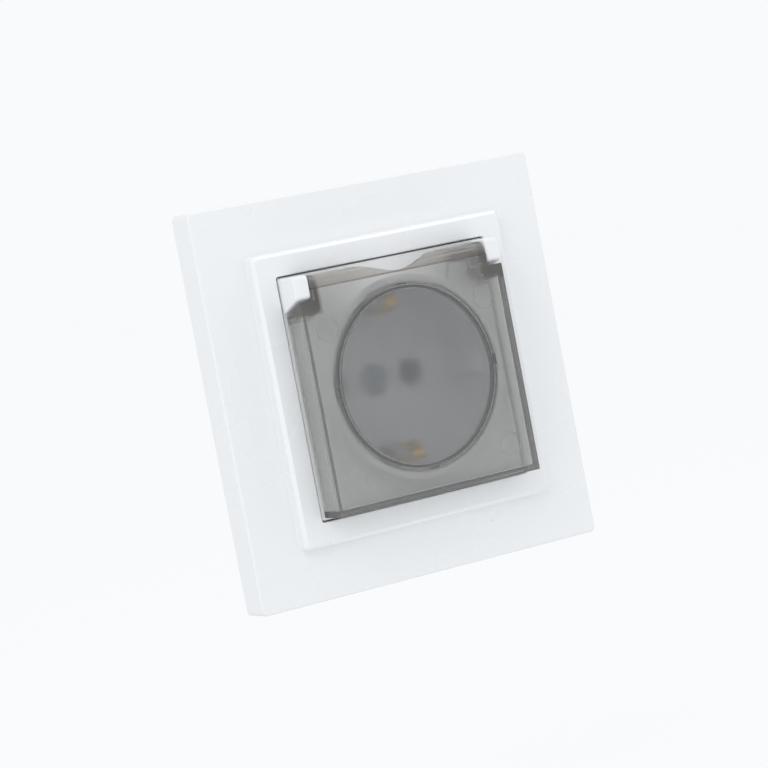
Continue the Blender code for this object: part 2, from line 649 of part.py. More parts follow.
def spring_anchor():
    """Where the spring's end enters the lid's knuckle wall, as (y, z)."""
    return HINGE_Y - SPRING_ANCHOR_REACH, LID_INSIDE - FIT - SPRING_WIRE


def build_spring(material):
    """Torsion spring round the right hinge pin: one leg on the plate, one end in the lid."""
    mean_radius = HINGE_PIN / 2 + FIT + SPRING_WIRE / 2
    outer_end = KNUCKLE_INNER - FIT - SPRING_WIRE / 2
    inner_end = outer_end - SPRING_TURNS * SPRING_PITCH
    steps_per_turn = 10
    steps = SPRING_TURNS * steps_per_turn
    foot = PLATE_TOP + FIT + SPRING_WIRE / 2
    leg_start = HINGE_Z - mean_radius
    drop = leg_start - foot
    run = math.sqrt(SPRING_LEG ** 2 - drop ** 2)
    points = [(inner_end, HINGE_Y - run, foot)]
    for step in range(steps + 1):
        angle = -math.pi / 2 + math.tau * step / steps_per_turn
        points.append((inner_end + (outer_end - inner_end) * step / steps,
                       HINGE_Y + mean_radius * math.cos(angle),
                       HINGE_Z + mean_radius * math.sin(angle)))
    for step in range(1, 6):
        angle = -math.pi / 2 + math.pi * step / 5
        points.append((outer_end, HINGE_Y + mean_radius * math.cos(angle),
                       HINGE_Z + mean_radius * math.sin(angle)))
    anchor_y, anchor_z = spring_anchor()
    points.append((outer_end, anchor_y + SPRING_WIRE, anchor_z))
    points.append((outer_end + SPRING_WIRE / 2, anchor_y, anchor_z))
    points.append((NOTCH_INNER - FIT, anchor_y, anchor_z))
    curve = bpy.data.curves.new("lid_spring", "CURVE")
    curve.dimensions = "3D"
    curve.bevel_depth = SPRING_WIRE / 2
    curve.bevel_resolution = 2
    curve.use_fill_caps = True
    spline = curve.splines.new("POLY")
    spline.points.add(len(points) - 1)
    for point, place in zip(spline.points, points):
        point.co = (*place, 1.0)
    curve.materials.append(material)
    item = bpy.data.objects.new("lid_spring", curve)
    part_group.objects.link(item)
    return item


def slot_outline(angle):
    """Curved slot for a box screw, with a round way in for its head at one end."""
    radius = BOX_SCREW_RADIUS
    half = BOX_SLOT_WIDTH / 2
    start, end = angle - BOX_SLOT_HALF_ANGLE, angle + BOX_SLOT_HALF_ANGLE
    head = BOX_KEYHOLE / 2
    key = (radius * math.cos(end), radius * math.sin(end))
    spread = math.asin(half / head)
    neck = end - head * math.cos(spread) / radius
    outline = arc((0, 0), radius + half, start, neck, 6)
    outline += arc(key, head, end - math.pi / 2 + spread, end + math.pi * 1.5 - spread, 14)[1:-1]
    outline += arc((0, 0), radius - half, neck, start, 6)
    tail = (radius * math.cos(start), radius * math.sin(start))
    outline += arc(tail, half, start + math.pi, start + math.tau, 6)[1:-1]
    return outline


def build_support_ring(material):
    """Stamped steel ring that screws to the wall box and carries the base."""
    half = RING_HALF
    edge = half - RING_CORNER_CUT
    outline = [(half, -edge), (half, edge), (edge, half), (-edge, half),
               (-half, edge), (-half, -edge), (-edge, -half), (edge, -half)]
    holes = [circle((0, 0), RING_OPENING_RADIUS, STEPS_LARGE)]
    holes += [slot_outline(quarter * math.pi / 2) for quarter in range(4)]
    corner = half - SURFACE_HOLE_INSET
    for sign in (-1, 1):
        holes.append(circle((sign * corner, sign * corner), SURFACE_HOLE / 2, STEPS_SMALL))
    for angle in LUG_ANGLES:
        holes.append(circle((LUG_PLACE * math.cos(angle), LUG_PLACE * math.sin(angle)),
                            RIVET_SHANK / 2 + FIT, STEPS_SMALL))
    ring = flat_piece("support_ring", [outline] + holes, 0.0, RING_THICKNESS)
    return finish(ring, material)


def terminal_places():
    return [(sx * TERMINAL_X, sy * TERMINAL_Y) for sx in (-1, 1) for sy in (-1, 1)]


def earth_terminal_places():
    return [(0.0, -EARTH_TERMINAL_Y), (0.0, EARTH_TERMINAL_Y)]


def wire_places():
    """Wire entries beside the terminal screws, seen from the front."""
    places = [(x, y - math.copysign(WIRE_OFFSET, y)) for x, y in terminal_places()]
    return places + [(x, y + math.copysign(WIRE_OFFSET - FIT, y)) for x, y in earth_terminal_places()]


def build_base(material):
    """Moulded base: cup for the pot in front, two wells for the live pieces behind."""
    radius = BASE_RADIUS
    base = turned("base_housing", [
        (0.0, BASE_TOP + OVERRUN), (radius, BASE_TOP + OVERRUN),
        (radius - BASE_DRAFT, BASE_REAR + BASE_EDGE), (radius - BASE_DRAFT - BASE_EDGE, BASE_REAR),
        (0.0, BASE_REAR)], STEPS_LARGE)
    for sign, side in ((-1, "bottom"), (1, "top")):
        span = sorted((sign * BASE_FLAT_HALF, sign * 2 * radius))
        cut(base, box("base_flat_" + side, (-2 * radius, span[0], BASE_REAR - OVERRUN),
                      (2 * radius, span[1], BASE_TOP + 2 * OVERRUN)))
    for angle, side in zip(LUG_ANGLES, ("upper", "lower")):
        turn = Matrix.Rotation(angle, 4, "Z")
        outline = arc((LUG_PLACE, 0), LUG_RADIUS, -math.pi / 2, math.pi / 2, 8)
        outline += [(CAVITY_RADIUS + EMBED, LUG_RADIUS), (CAVITY_RADIUS + EMBED, -LUG_RADIUS)]
        join(base, flat_piece("base_lug_" + side, [outline], BASE_TOP - LUG_THICKNESS,
                              BASE_TOP + OVERRUN / 2, cutter_group, turn))
    cut(base, box("base_front_flat", (-2 * radius, -2 * radius, BASE_TOP),
                  (2 * radius, 2 * radius, BASE_TOP + 2 * OVERRUN)))
    above_cavity = CAVITY_FLOOR + EMBED
    cut(base,
        cylinders("pot_cavity", [(0, 0)], CAVITY_RADIUS, CAVITY_FLOOR, BASE_TOP + EMBED, STEPS_LARGE),
        cylinders("rivet_holes", [(LUG_PLACE * math.cos(a), LUG_PLACE * math.sin(a)) for a in LUG_ANGLES],
                  RIVET_SHANK / 2 + FIT, BASE_TOP - LUG_THICKNESS - OVERRUN, BASE_TOP + OVERRUN))
    for sign, side in ((-1, "left"), (1, "right")):
        span = sorted((sign * WELL_INNER, sign * WELL_OUTER))
        cut(base, box("well_" + side, (span[0], -WELL_HALF_HEIGHT, BASE_REAR - OVERRUN),
                      (span[1], WELL_HALF_HEIGHT, WELL_CEILING)))
    cut(base,
        cylinders("pin_passages", [(-PIN_SPACING / 2, 0), (PIN_SPACING / 2, 0)],
                  PIN_HOLE / 2 + 2 * FIT, WELL_CEILING - EMBED, above_cavity),
        cylinders("driver_passages", terminal_places(), SCREW_HEAD / 2 + FIT,
                  WELL_CEILING - EMBED, above_cavity),
        cylinders("boss_clearance", [(0, 0)], SCREW_BOSS / 2 + FIT, BOSS_FOOT - FIT, above_cavity,
                  STEPS_MEDIUM),
        cylinders("bush_hole", [(0, 0)], BUSH_DIAMETER / 2 + FIT, BUSH_TOP - BUSH_LENGTH - FIT,
                  GROOVE_FLOOR + EMBED, STEPS_MEDIUM))
    groove = EARTH_WIDTH / 2 + FIT
    groove_end = CLIP_RISER_Y + STRIP / 2 + FIT
    cut(base, box("earth_groove", (-groove, -groove_end, GROOVE_FLOOR), (groove, groove_end, above_cavity)))
    side = CLAMP_SIDE / 2 + FIT
    pocket_floor = EARTH_TOP - SCREW_LENGTH - SCREW_END_ROOM
    cut(base,
        boxes("earth_pockets", [((-side, y - side, pocket_floor), (side, y + side, above_cavity))
                                for x, y in earth_terminal_places()]),
        cylinders("earth_wire_channels", wire_places()[4:], WIRE_HOLE / 2, BASE_REAR - OVERRUN,
                  pocket_floor + EMBED))
    return finish(base, material)


def build_base_cover(material):
    """Rear cover with wire entries, plugged into the wells by two low rims."""
    radius = BASE_RADIUS - BASE_DRAFT - FIT
    rear = COVER_FRONT - COVER_THICKNESS
    cover = turned("base_cover", [
        (0.0, COVER_FRONT), (radius, COVER_FRONT), (radius, rear + BASE_EDGE),
        (radius - BASE_EDGE, rear), (0.0, rear)], STEPS_LARGE)
    for sign, side in ((-1, "bottom"), (1, "top")):
        span = sorted((sign * BASE_FLAT_HALF, sign * 2 * radius))
        cut(cover, box("cover_flat_" + side, (-2 * radius, span[0], rear - OVERRUN),
                       (2 * radius, span[1], COVER_FRONT + OVERRUN)))
    half_x = (WELL_OUTER - WELL_INNER) / 2 - FIT
    half_y = WELL_HALF_HEIGHT - FIT
    for sign, side in ((-1, "left"), (1, "right")):
        place = Matrix.Translation((sign * (WELL_OUTER + WELL_INNER) / 2, 0, 0))
        rim = [rounded_rectangle(half_x, half_y, COVER_RIM_CORNER, 2),
               rounded_rectangle(half_x - COVER_RIM_WALL, half_y - COVER_RIM_WALL, COVER_RIM_CORNER / 2, 2)]
        join(cover, flat_piece("cover_rim_" + side, rim, COVER_FRONT - EMBED,
                               COVER_FRONT + COVER_RIM, cutter_group, place))
    cut(cover, cylinders("wire_holes", wire_places(), WIRE_HOLE / 2, rear - OVERRUN, COVER_FRONT + OVERRUN))
    return finish(cover, material)


def clip_path():
    """Centre line of the earth strip from its middle to the free end of the upper clip, as (y, z)."""
    strip_z = EARTH_TOP - STRIP / 2
    fold_y = CLIP_RISER_Y - CLIP_FOLD_RADIUS
    fold_z = PLATE_TOP + CLIP_TOP - STRIP / 2 - CLIP_FOLD_RADIUS
    tongue_y = fold_y - CLIP_FOLD_RADIUS
    contact = RECESS_RADIUS - CLIP_REACH + STRIP / 2
    path = arc((CLIP_RISER_Y - CLIP_BEND, strip_z + CLIP_BEND), CLIP_BEND, -math.pi / 2, 0.0, 4)
    path += arc((fold_y, fold_z), CLIP_FOLD_RADIUS, 0.0, math.pi, 8)
    bulge = fold_z - FLOOR_TOP
    for step in range(1, 9):
        share = step / 8
        path.append((tongue_y - (tongue_y - contact) * math.sin(math.pi * share * 0.92),
                     fold_z - bulge * 0.78 * share))
    return path


def build_earth_bracket(material):
    """One bent brass strip across the base, with a narrow sprung clip at each end."""
    half = clip_path()
    path = [(-y, z) for y, z in reversed(half)] + half
    bracket = side_piece("earth_bracket", strip_outline(path, STRIP), -EARTH_WIDTH / 2, EARTH_WIDTH / 2)
    cut(bracket, cylinders("strip_holes", [(0.0, 0.0)] + earth_terminal_places(), SHANK_BORE_RADIUS,
                           EARTH_TOP - STRIP - EMBED, EARTH_TOP + EMBED))
    near, far = CLIP_WIDTH / 2, EARTH_WIDTH / 2 + OVERRUN
    start, end = RECESS_RADIUS - CLIP_REACH - OVERRUN, CLIP_RISER_Y + OVERRUN
    low, high = EARTH_TOP + CLIP_BEND, PLATE_TOP + OVERRUN
    cut(bracket, boxes("clip_sides", [
        ((near, start, low), (far, end, high)), ((-far, start, low), (-near, end, high)),
        ((near, -end, low), (far, -start, high)), ((-far, -end, low), (-near, -start, high))]))
    return finish(bracket, material)


def build_contact(side, sign, material):
    """Slit sleeve for one plug pin, on a rail that holds its two wire clamps."""
    pin_x = sign * PIN_SPACING / 2
    half_x = RAIL_WIDTH / 2
    half_y = WELL_HALF_HEIGHT - FIT
    tab = SLEEVE_RADIUS / 2
    outline = [(TERMINAL_X - half_x, -half_y), (TERMINAL_X + half_x, -half_y),
               (TERMINAL_X + half_x, half_y), (TERMINAL_X - half_x, half_y),
               (TERMINAL_X - half_x, tab), (PIN_SPACING / 2, tab),
               (PIN_SPACING / 2, -tab), (TERMINAL_X - half_x, -tab)]
    outline = [(sign * x, y) for x, y in outline]
    holes = [circle((x, y), SHANK_BORE_RADIUS, STEPS_SMALL) for x, y in terminal_places() if x * sign > 0]
    contact = flat_piece("contact_" + side, [outline] + holes, RAIL_TOP - STRIP, RAIL_TOP)
    foot = COVER_FRONT + COVER_RIM + FIT
    join(contact, cylinders("sleeve_" + side, [(pin_x, 0)], SLEEVE_RADIUS, foot, CONTACT_TOP, STEPS_MEDIUM))
    bore = CONTACT_BORE / 2
    cut(contact, turned("sleeve_bore_" + side, [
        (0.0, CONTACT_TOP + EMBED), (bore + CONTACT_WALL / 2, CONTACT_TOP + EMBED),
        (bore, CONTACT_TOP - CONTACT_WALL), (bore, foot - OVERRUN), (0.0, foot - OVERRUN)], STEPS_MEDIUM,
        Matrix.Translation((pin_x, 0, 0)), cutter_group))
    span = sorted((pin_x - sign * (SLEEVE_RADIUS + OVERRUN), pin_x))
    cut(contact, box("sleeve_slit_" + side, (span[0], -CONTACT_SLIT / 2, foot - OVERRUN),
                     (span[1], CONTACT_SLIT / 2, CONTACT_TOP + OVERRUN)))
    return finish(contact, material)


def build_clamp(name, place, top, material):
    """Square clamp plate drawn against the strip by its screw."""
    half = CLAMP_SIDE / 2
    x, y = place
    bore = circle((0, 0), SHANK_BORE_RADIUS, STEPS_SMALL)
    plate = flat_piece(name, [rounded_rectangle(half, half, CLAMP_CORNER, 2), bore],
                       top - CLAMP_THICKNESS, top, place=Matrix.Translation((x, y, 0)))
    return finish(plate, material)


def build_screw(name, place, seat, head, head_height, length, material):
    """Round-head screw with a crossed drive, its head resting on seat."""
    x, y = place
    top = head_height
    edge = SCREW_HEAD_EDGE
    tip = SCREW_TIP
    profile = [(0.0, top), (head / 2 - edge, top), (head / 2, top - edge), (head / 2, 0.0),
               (SCREW_SHANK / 2, 0.0), (SCREW_SHANK / 2, -length + tip),
               (SCREW_SHANK / 2 - tip, -length), (0.0, -length)]
    screw = turned(name, profile, STEPS_SMALL, Matrix.Translation((x, y, seat)))
    reach = head / 2 - 2 * edge
    half = SCREW_SLOT / 2
    floor = seat + top - SCREW_SLOT_DEPTH
    above = seat + top + OVERRUN
    cut(screw,
        box(name + "_drive_across", (x - reach, y - half, floor), (x + reach, y + half, above)),
        box(name + "_drive_along", (x - half, y - reach, floor), (x + half, y + reach, above)))
    return finish(screw, material)


def build_bush(material):
    """Threaded bush in the base for the centre screw."""
    outlines = [circle((0, 0), BUSH_DIAMETER / 2, STEPS_MEDIUM),
                circle((0, 0), SHANK_BORE_RADIUS, STEPS_SMALL)]
    bush = flat_piece("screw_bush", outlines, BUSH_TOP - BUSH_LENGTH, BUSH_TOP)
    return finish(bush, material)


def build_rivet(side, angle, material):
    """Rivet through support ring and base lug."""
    top = RING_THICKNESS + FIT
    foot = BASE_TOP - LUG_THICKNESS - FIT
    shank = RIVET_SHANK / 2
    head = RIVET_HEAD / 2
    rise = RIVET_HEAD_HEIGHT
    rivet = turned("rivet_" + side, [
        (0.0, top + rise), (head * 0.6, top + rise), (head, top + rise * 0.3), (head, top), (shank, top),
        (shank, foot), (head * 0.85, foot), (head * 0.6, foot - rise), (0.0, foot - rise)], STEPS_SMALL,
        Matrix.Translation((LUG_PLACE * math.cos(angle), LUG_PLACE * math.sin(angle), 0)))
    return finish(rivet, material)


def stand_upright():
    """Turn the bench frame so that Y on the bench points up."""
    wall = bpy.data.objects.new("wall_plane", None)
    part_group.objects.link(wall)
    wall.rotation_euler = (math.pi / 2, 0.0, 0.0)
    for item in list(part_group.objects) + list(cutter_group.objects):
        if item.parent is None and item is not wall:
            item.parent = wall


def build():
    clear_scene()
    frame_white = make_material("frame_white", (0.80, 0.81, 0.81), 0.25)
    plate_white = make_material("plate_white", (0.79, 0.80, 0.80), 0.28)
    lid_smoke = make_material("lid_smoke", (0.42, 0.43, 0.43), 0.12, alpha=0.45)
    base_grey = make_material("base_grey", (0.55, 0.56, 0.56), 0.5)
    cover_grey = make_material("cover_grey", (0.50, 0.51, 0.51), 0.5)
    ring_zinc = make_material("ring_zinc", (0.60, 0.61, 0.62), 0.35, 1.0)
    screw_zinc = make_material("screw_zinc", (0.62, 0.63, 0.64), 0.3, 1.0)
    clamp_zinc = make_material("clamp_zinc", (0.58, 0.59, 0.60), 0.4, 1.0)
    rivet_steel = make_material("rivet_steel", (0.56, 0.56, 0.57), 0.35, 1.0)
    pin_steel = make_material("pin_steel", (0.55, 0.55, 0.56), 0.25, 1.0)
    spring_steel = make_material("spring_steel", (0.50, 0.50, 0.51), 0.3, 1.0)
    bracket_brass = make_material("bracket_brass", (0.72, 0.52, 0.22), 0.3, 1.0)
    contact_brass = make_material("contact_brass", (0.70, 0.50, 0.22), 0.35, 1.0)
    bush_brass = make_material("bush_brass", (0.68, 0.49, 0.22), 0.4, 1.0)

    hinge = bpy.data.objects.new("lid_hinge", None)
    part_group.objects.link(hinge)
    hinge.location = HINGE_POINT

    build_cover_frame(frame_white)
    build_centre_plate(plate_white)
    build_lid(lid_smoke, hinge)
    pin_inner = KNUCKLE_INNER - FIT - HINGE_PIN_HEAD_THICKNESS
    coil_room = SPRING_TURNS * SPRING_PITCH + SPRING_WIRE + FIT
    build_hinge_pin("left", -1, pin_inner, pin_steel)
    build_hinge_pin("right", 1, pin_inner - coil_room, pin_steel)
    build_spring(spring_steel)
    build_support_ring(ring_zinc)
    build_base(base_grey)
    build_base_cover(cover_grey)
    build_earth_bracket(bracket_brass)
    build_bush(bush_brass)
    centre_length = CENTRE_HEAD_SEAT - (BUSH_TOP - BUSH_LENGTH) - CENTRE_SCREW_SETBACK
    build_screw("centre_screw", (0, 0), CENTRE_HEAD_SEAT, CENTRE_HEAD, CENTRE_HEAD_HEIGHT,
                centre_length, screw_zinc)
    for side, sign in (("left", -1), ("right", 1)):
        build_contact(side, sign, contact_brass)
    for index, place in enumerate(terminal_places(), 1):
        build_screw("terminal_screw_%d" % index, place, RAIL_TOP + FIT, SCREW_HEAD, SCREW_HEAD_HEIGHT,
                    SCREW_LENGTH, screw_zinc)
        build_clamp("clamp_plate_%d" % index, place, RAIL_TOP - STRIP - FIT, clamp_zinc)
    for index, place in enumerate(earth_terminal_places(), 1):
        build_screw("earth_screw_%d" % index, place, EARTH_TOP + FIT, SCREW_HEAD, SCREW_HEAD_HEIGHT,
                    SCREW_LENGTH, screw_zinc)
        build_clamp("earth_clamp_%d" % index, place, EARTH_TOP - STRIP - FIT, clamp_zinc)
    for side, angle in zip(("upper", "lower"), LUG_ANGLES):
        build_rivet(side, angle, rivet_steel)
    stand_upright()


build()
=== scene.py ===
import bpy
import bmesh
import math
from mathutils import Matrix, Vector


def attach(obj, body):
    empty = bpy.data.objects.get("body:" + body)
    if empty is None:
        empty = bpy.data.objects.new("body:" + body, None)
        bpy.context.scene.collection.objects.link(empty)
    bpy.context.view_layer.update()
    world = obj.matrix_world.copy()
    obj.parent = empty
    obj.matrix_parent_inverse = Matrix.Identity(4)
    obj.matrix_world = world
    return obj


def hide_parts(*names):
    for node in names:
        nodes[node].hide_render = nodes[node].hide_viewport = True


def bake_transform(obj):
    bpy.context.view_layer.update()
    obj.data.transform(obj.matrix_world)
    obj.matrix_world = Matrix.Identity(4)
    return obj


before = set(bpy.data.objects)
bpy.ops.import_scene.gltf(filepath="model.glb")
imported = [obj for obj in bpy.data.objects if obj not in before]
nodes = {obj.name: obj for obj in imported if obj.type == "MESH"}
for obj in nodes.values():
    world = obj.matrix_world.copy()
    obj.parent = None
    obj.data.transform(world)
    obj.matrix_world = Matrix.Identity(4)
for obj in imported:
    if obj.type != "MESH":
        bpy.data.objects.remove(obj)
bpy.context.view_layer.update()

# Pieces are drawn on a bench in millimetres: x right, y up the wall, z out of the wall.
toRow = Matrix.Rotation(math.pi / 2, 4, "X") @ Matrix.Diagonal((0.001, 0.001, 0.001, 1.0))


# Helpers for meshes

past = 0.3  # cutters and joined pieces run this far past a face


def fresh(name, bm):
    bmesh.ops.recalc_face_normals(bm, faces=bm.faces)
    mesh = bpy.data.meshes.new(name)
    bm.to_mesh(mesh)
    bm.free()
    item = bpy.data.objects.new(name, mesh)
    bpy.context.scene.collection.objects.link(item)
    return item


def applyAll(item):
    graph = bpy.context.evaluated_depsgraph_get()
    mesh = bpy.data.meshes.new_from_object(item.evaluated_get(graph))
    item.modifiers.clear()
    item.data = mesh
    return item


def carve(item, how, *tools):
    # adds ("UNION") or takes away ("DIFFERENCE") the tools, which are then gone
    for tool in tools:
        step = item.modifiers.new("carve", "BOOLEAN")
        step.operation = how
        step.solver = "EXACT"
        step.object = tool
    applyAll(item)
    for tool in tools:
        bpy.data.objects.remove(tool)
    return item


def tidyMesh(item, near=0.0005, flat=0.3):
    # merges what a boolean leaves double and drops lines across flat faces
    bm = bmesh.new()
    bm.from_mesh(item.data)
    bmesh.ops.remove_doubles(bm, verts=bm.verts, dist=near)
    bmesh.ops.dissolve_limit(bm, angle_limit=math.radians(flat), use_dissolve_boundaries=False,
                             verts=bm.verts, edges=bm.edges)
    bm.to_mesh(item.data)
    bm.free()
    return item


def roundEdges(item, width, segments=3, angle=40.0):
    step = item.modifiers.new("round", "BEVEL")
    step.width = width
    step.segments = segments
    step.limit_method = "ANGLE"
    step.angle_limit = math.radians(angle)
    step.miter_outer = "MITER_ARC"
    return applyAll(item)


def roundWeighted(item, width, segments, share, angle=50.0):
    # share(edge) is the part of the width that a sharp edge gets
    bm = bmesh.new()
    bm.from_mesh(item.data)
    weight = bm.edges.layers.float.new("bevel_weight_edge")
    for edge in bm.edges:
        sharp = len(edge.link_faces) == 2 and edge.calc_face_angle() > math.radians(angle)
        edge[weight] = share(edge) if sharp else 0.0
    bm.to_mesh(item.data)
    bm.free()
    step = item.modifiers.new("round", "BEVEL")
    step.width = width
    step.segments = segments
    step.limit_method = "WEIGHT"
    step.miter_outer = "MITER_ARC"
    return applyAll(item)


def slab(low, high, edge=0.0, segments=3, pick=None):
    bm = bmesh.new()
    size = Vector(high) - Vector(low)
    place = Matrix.Translation((Vector(high) + Vector(low)) / 2) @ Matrix.Diagonal((*size, 1.0))
    bmesh.ops.create_cube(bm, size=1.0, matrix=place)
    if edge > 0.0:
        edges = [e for e in bm.edges if pick is None or pick(e)]
        bmesh.ops.bevel(bm, geom=edges, offset=edge, offset_type="OFFSET", segments=segments,
                        profile=0.5, affect="EDGES", material=-1, clamp_overlap=True)
    return fresh("slab", bm)


def upright(edge):
    return abs(edge.verts[0].co.z - edge.verts[1].co.z) > 1.0


def span(sign, near, far):
    # the low and the high end of a stretch left (-1) or right (1) of the middle
    return sorted((sign * near, sign * far))


def rods(places, radius, low, high, count=48):
    bm = bmesh.new()
    for x, y in places:
        bmesh.ops.create_cone(bm, cap_ends=True, segments=count, radius1=radius, radius2=radius,
                              depth=high - low, matrix=Matrix.Translation((x, y, (low + high) / 2)))
    return fresh("rods", bm)


def rodAcross(low, high, radius, y, z, count=40):
    bm = bmesh.new()
    place = Matrix.Translation(((low + high) / 2, y, z)) @ Matrix.Rotation(math.pi / 2, 4, "Y")
    bmesh.ops.create_cone(bm, cap_ends=True, segments=count, radius1=radius, radius2=radius,
                          depth=high - low, matrix=place)
    return fresh("rodAcross", bm)


def arcPoints(centre, radius, start, end, steps):
    return [(centre[0] + radius * math.cos(start + (end - start) * i / steps),
             centre[1] + radius * math.sin(start + (end - start) * i / steps)) for i in range(steps + 1)]


def prism(outline, low, high, turn=Matrix.Identity(4)):
    bm = bmesh.new()
    corners = [bm.verts.new((x, y, low)) for x, y in outline]
    edges = [bm.edges.new(pair) for pair in zip(corners, corners[1:] + corners[:1])]
    bmesh.ops.edgeloop_fill(bm, edges=edges)
    grown = bmesh.ops.extrude_face_region(bm, geom=bm.faces[:])["geom"]
    moved = [g for g in grown if isinstance(g, bmesh.types.BMVert)]
    bmesh.ops.translate(bm, vec=(0, 0, high - low), verts=moved)
    bmesh.ops.transform(bm, matrix=turn, verts=bm.verts)
    return fresh("prism", bm)


# turns a prism of a (y, z) outline to run along x
alongX = Matrix(((0, 0, 1, 0), (1, 0, 0, 0), (0, 1, 0, 0), (0, 0, 0, 1)))


def lathe(profile, count=96, place=Matrix.Identity(4)):
    # turns (radius, height) points about the z axis
    bm = bmesh.new()
    points = [bm.verts.new((radius, 0.0, height)) for radius, height in profile]
    for first, second in zip(points, points[1:]):
        bm.edges.new((first, second))
    if profile[0][0] > 0.0:
        bm.edges.new((points[-1], points[0]))
    bmesh.ops.spin(bm, geom=bm.verts[:] + bm.edges[:], cent=(0, 0, 0), axis=(0, 0, 1), angle=math.tau,
                   steps=count, use_merge=True, use_duplicate=False)
    bmesh.ops.remove_doubles(bm, verts=bm.verts, dist=0.0001)
    bmesh.ops.transform(bm, matrix=place, verts=bm.verts)
    return fresh("lathe", bm)


def squareBand(sections, corner=8):
    # a ring is extruded from section to section: (half side, corner radius, height)
    bm = bmesh.new()
    spot = bm.verts.layers.int.new("spot")
    ring = bmesh.ops.create_circle(bm, cap_ends=False, segments=4 * (corner + 1), radius=1.0)["verts"]
    for index, vert in enumerate(ring):
        vert[spot] = index

    def settle(verts, half, radius, height):
        for vert in verts:
            quarter, step = divmod(vert[spot], corner + 1)
            angle = (quarter + step / corner) * math.pi / 2
            middle = Vector((1 if quarter in (0, 3) else -1, 1 if quarter < 2 else -1)) * (half - radius)
            vert.co = (middle.x + radius * math.cos(angle), middle.y + radius * math.sin(angle), height)

    settle(ring, *sections[0])
    edges = bm.edges[:]
    for section in sections[1:] + sections[:1]:
        grown = bmesh.ops.extrude_edge_only(bm, edges=edges)["geom"]
        verts = [g for g in grown if isinstance(g, bmesh.types.BMVert)]
        edges = [g for g in grown
                 if isinstance(g, bmesh.types.BMEdge) and all(v in verts for v in g.verts)]
        settle(verts, *section)
    bmesh.ops.remove_doubles(bm, verts=bm.verts, dist=0.0001)
    return fresh("squareBand", bm)


def deliver(item, name, material, body, replaced, slot):
    item.name = name
    item.data.name = name
    item.data.transform(toRow)
    dress(item, material, body, replaced, slot)
    return item


def dress(item, material, body, replaced, slot, weighted=True):
    item.data.materials.clear()
    item.data.materials.append(materials[material])
    item.data.shade_smooth()
    item.data.set_sharp_from_angle(angle=math.radians(32.0))
    if weighted:
        step = item.modifiers.new("normals", "WEIGHTED_NORMAL")
        step.keep_sharp = True
        step.weight = 60
    if body:
        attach(item, body)
    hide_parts(*replaced)


# Helpers for materials

def newTree(name):
    material = bpy.data.materials.new(name)
    material.use_nodes = True
    tree = material.node_tree
    shader = tree.nodes["Principled BSDF"]
    shader.location = (0, 0)
    return material, tree, shader


def add(tree, kind, x, y, inputs=None, **settings):
    # inputs holds values of the node's sockets
    node = tree.nodes.new(kind)
    node.location = (x, y)
    for key, value in settings.items():
        setattr(node, key, value)
    for key, value in (inputs or {}).items():
        node.inputs[key].default_value = value
    return node


def link(tree, source, target):
    tree.links.new(source, target)


def maths(tree, operation, x, y, *sources):
    # each source is an output or a plain number
    node = add(tree, "ShaderNodeMath", x, y, operation=operation)
    for socket, source in zip(node.inputs, sources):
        if isinstance(source, float):
            socket.default_value = source
        else:
            link(tree, source, socket)
    return node.outputs["Value"]


def offset(tree, source, centre, x, y):
    # how far a value lies from the centre, either way
    return maths(tree, "ABSOLUTE", x + 160, y, maths(tree, "SUBTRACT", x, y, source, centre))


def ranged(tree, source, low, high, x, y, start=0.3, end=0.7, curve="LINEAR"):
    # start to end becomes low to high
    values = {"From Min": start, "From Max": end, "To Min": low, "To Max": high}
    node = add(tree, "ShaderNodeMapRange", x, y, values, interpolation_type=curve)
    link(tree, source, node.inputs["Value"])
    return node.outputs["Result"]


def blendColours(tree, factor, first, second, x, y):
    # each colour is a tuple or another node's output
    node = add(tree, "ShaderNodeMixRGB", x, y)
    link(tree, factor, node.inputs["Fac"])
    for name, colour in (("Color1", first), ("Color2", second)):
        if isinstance(colour, tuple):
            node.inputs[name].default_value = (*colour, 1.0)
        else:
            link(tree, colour, node.inputs[name])
    return node.outputs["Color"]


def relief(tree, height, depth, x, y):
    node = add(tree, "ShaderNodeBump", x, y, {"Strength": 1.0, "Distance": depth})
    link(tree, height, node.inputs["Height"])
    return node.outputs["Normal"]


def startGroup(name, inlets, outlets):
    group = bpy.data.node_groups.new(name, "ShaderNodeTree")
    for key, value in inlets.items():
        kind = "NodeSocketVector" if isinstance(value, tuple) else "NodeSocketFloat"
        group.interface.new_socket(key, in_out="INPUT", socket_type=kind).default_value = value
    for key in outlets:
        group.interface.new_socket(key, in_out="OUTPUT", socket_type="NodeSocketFloat")
    inside = add(group, "NodeGroupInput", -1300, 0)
    outside = add(group, "NodeGroupOutput", 600, 0)
    where = add(group, "ShaderNodeTexCoord", -1300, -250)
    return group, inside.outputs, outside.inputs, where.outputs["Object"]


surface = {"cloudScale": 60.0, "cloudDetail": 3.0, "grainScale": 3000.0, "grainDetail": 2.0,
           "dustScale": 110.0, "dustFrom": 0.030, "dustFull": 0.016, "dustShare": 0.72,
           "bendScale": 2500.0, "bend": 0.0004}


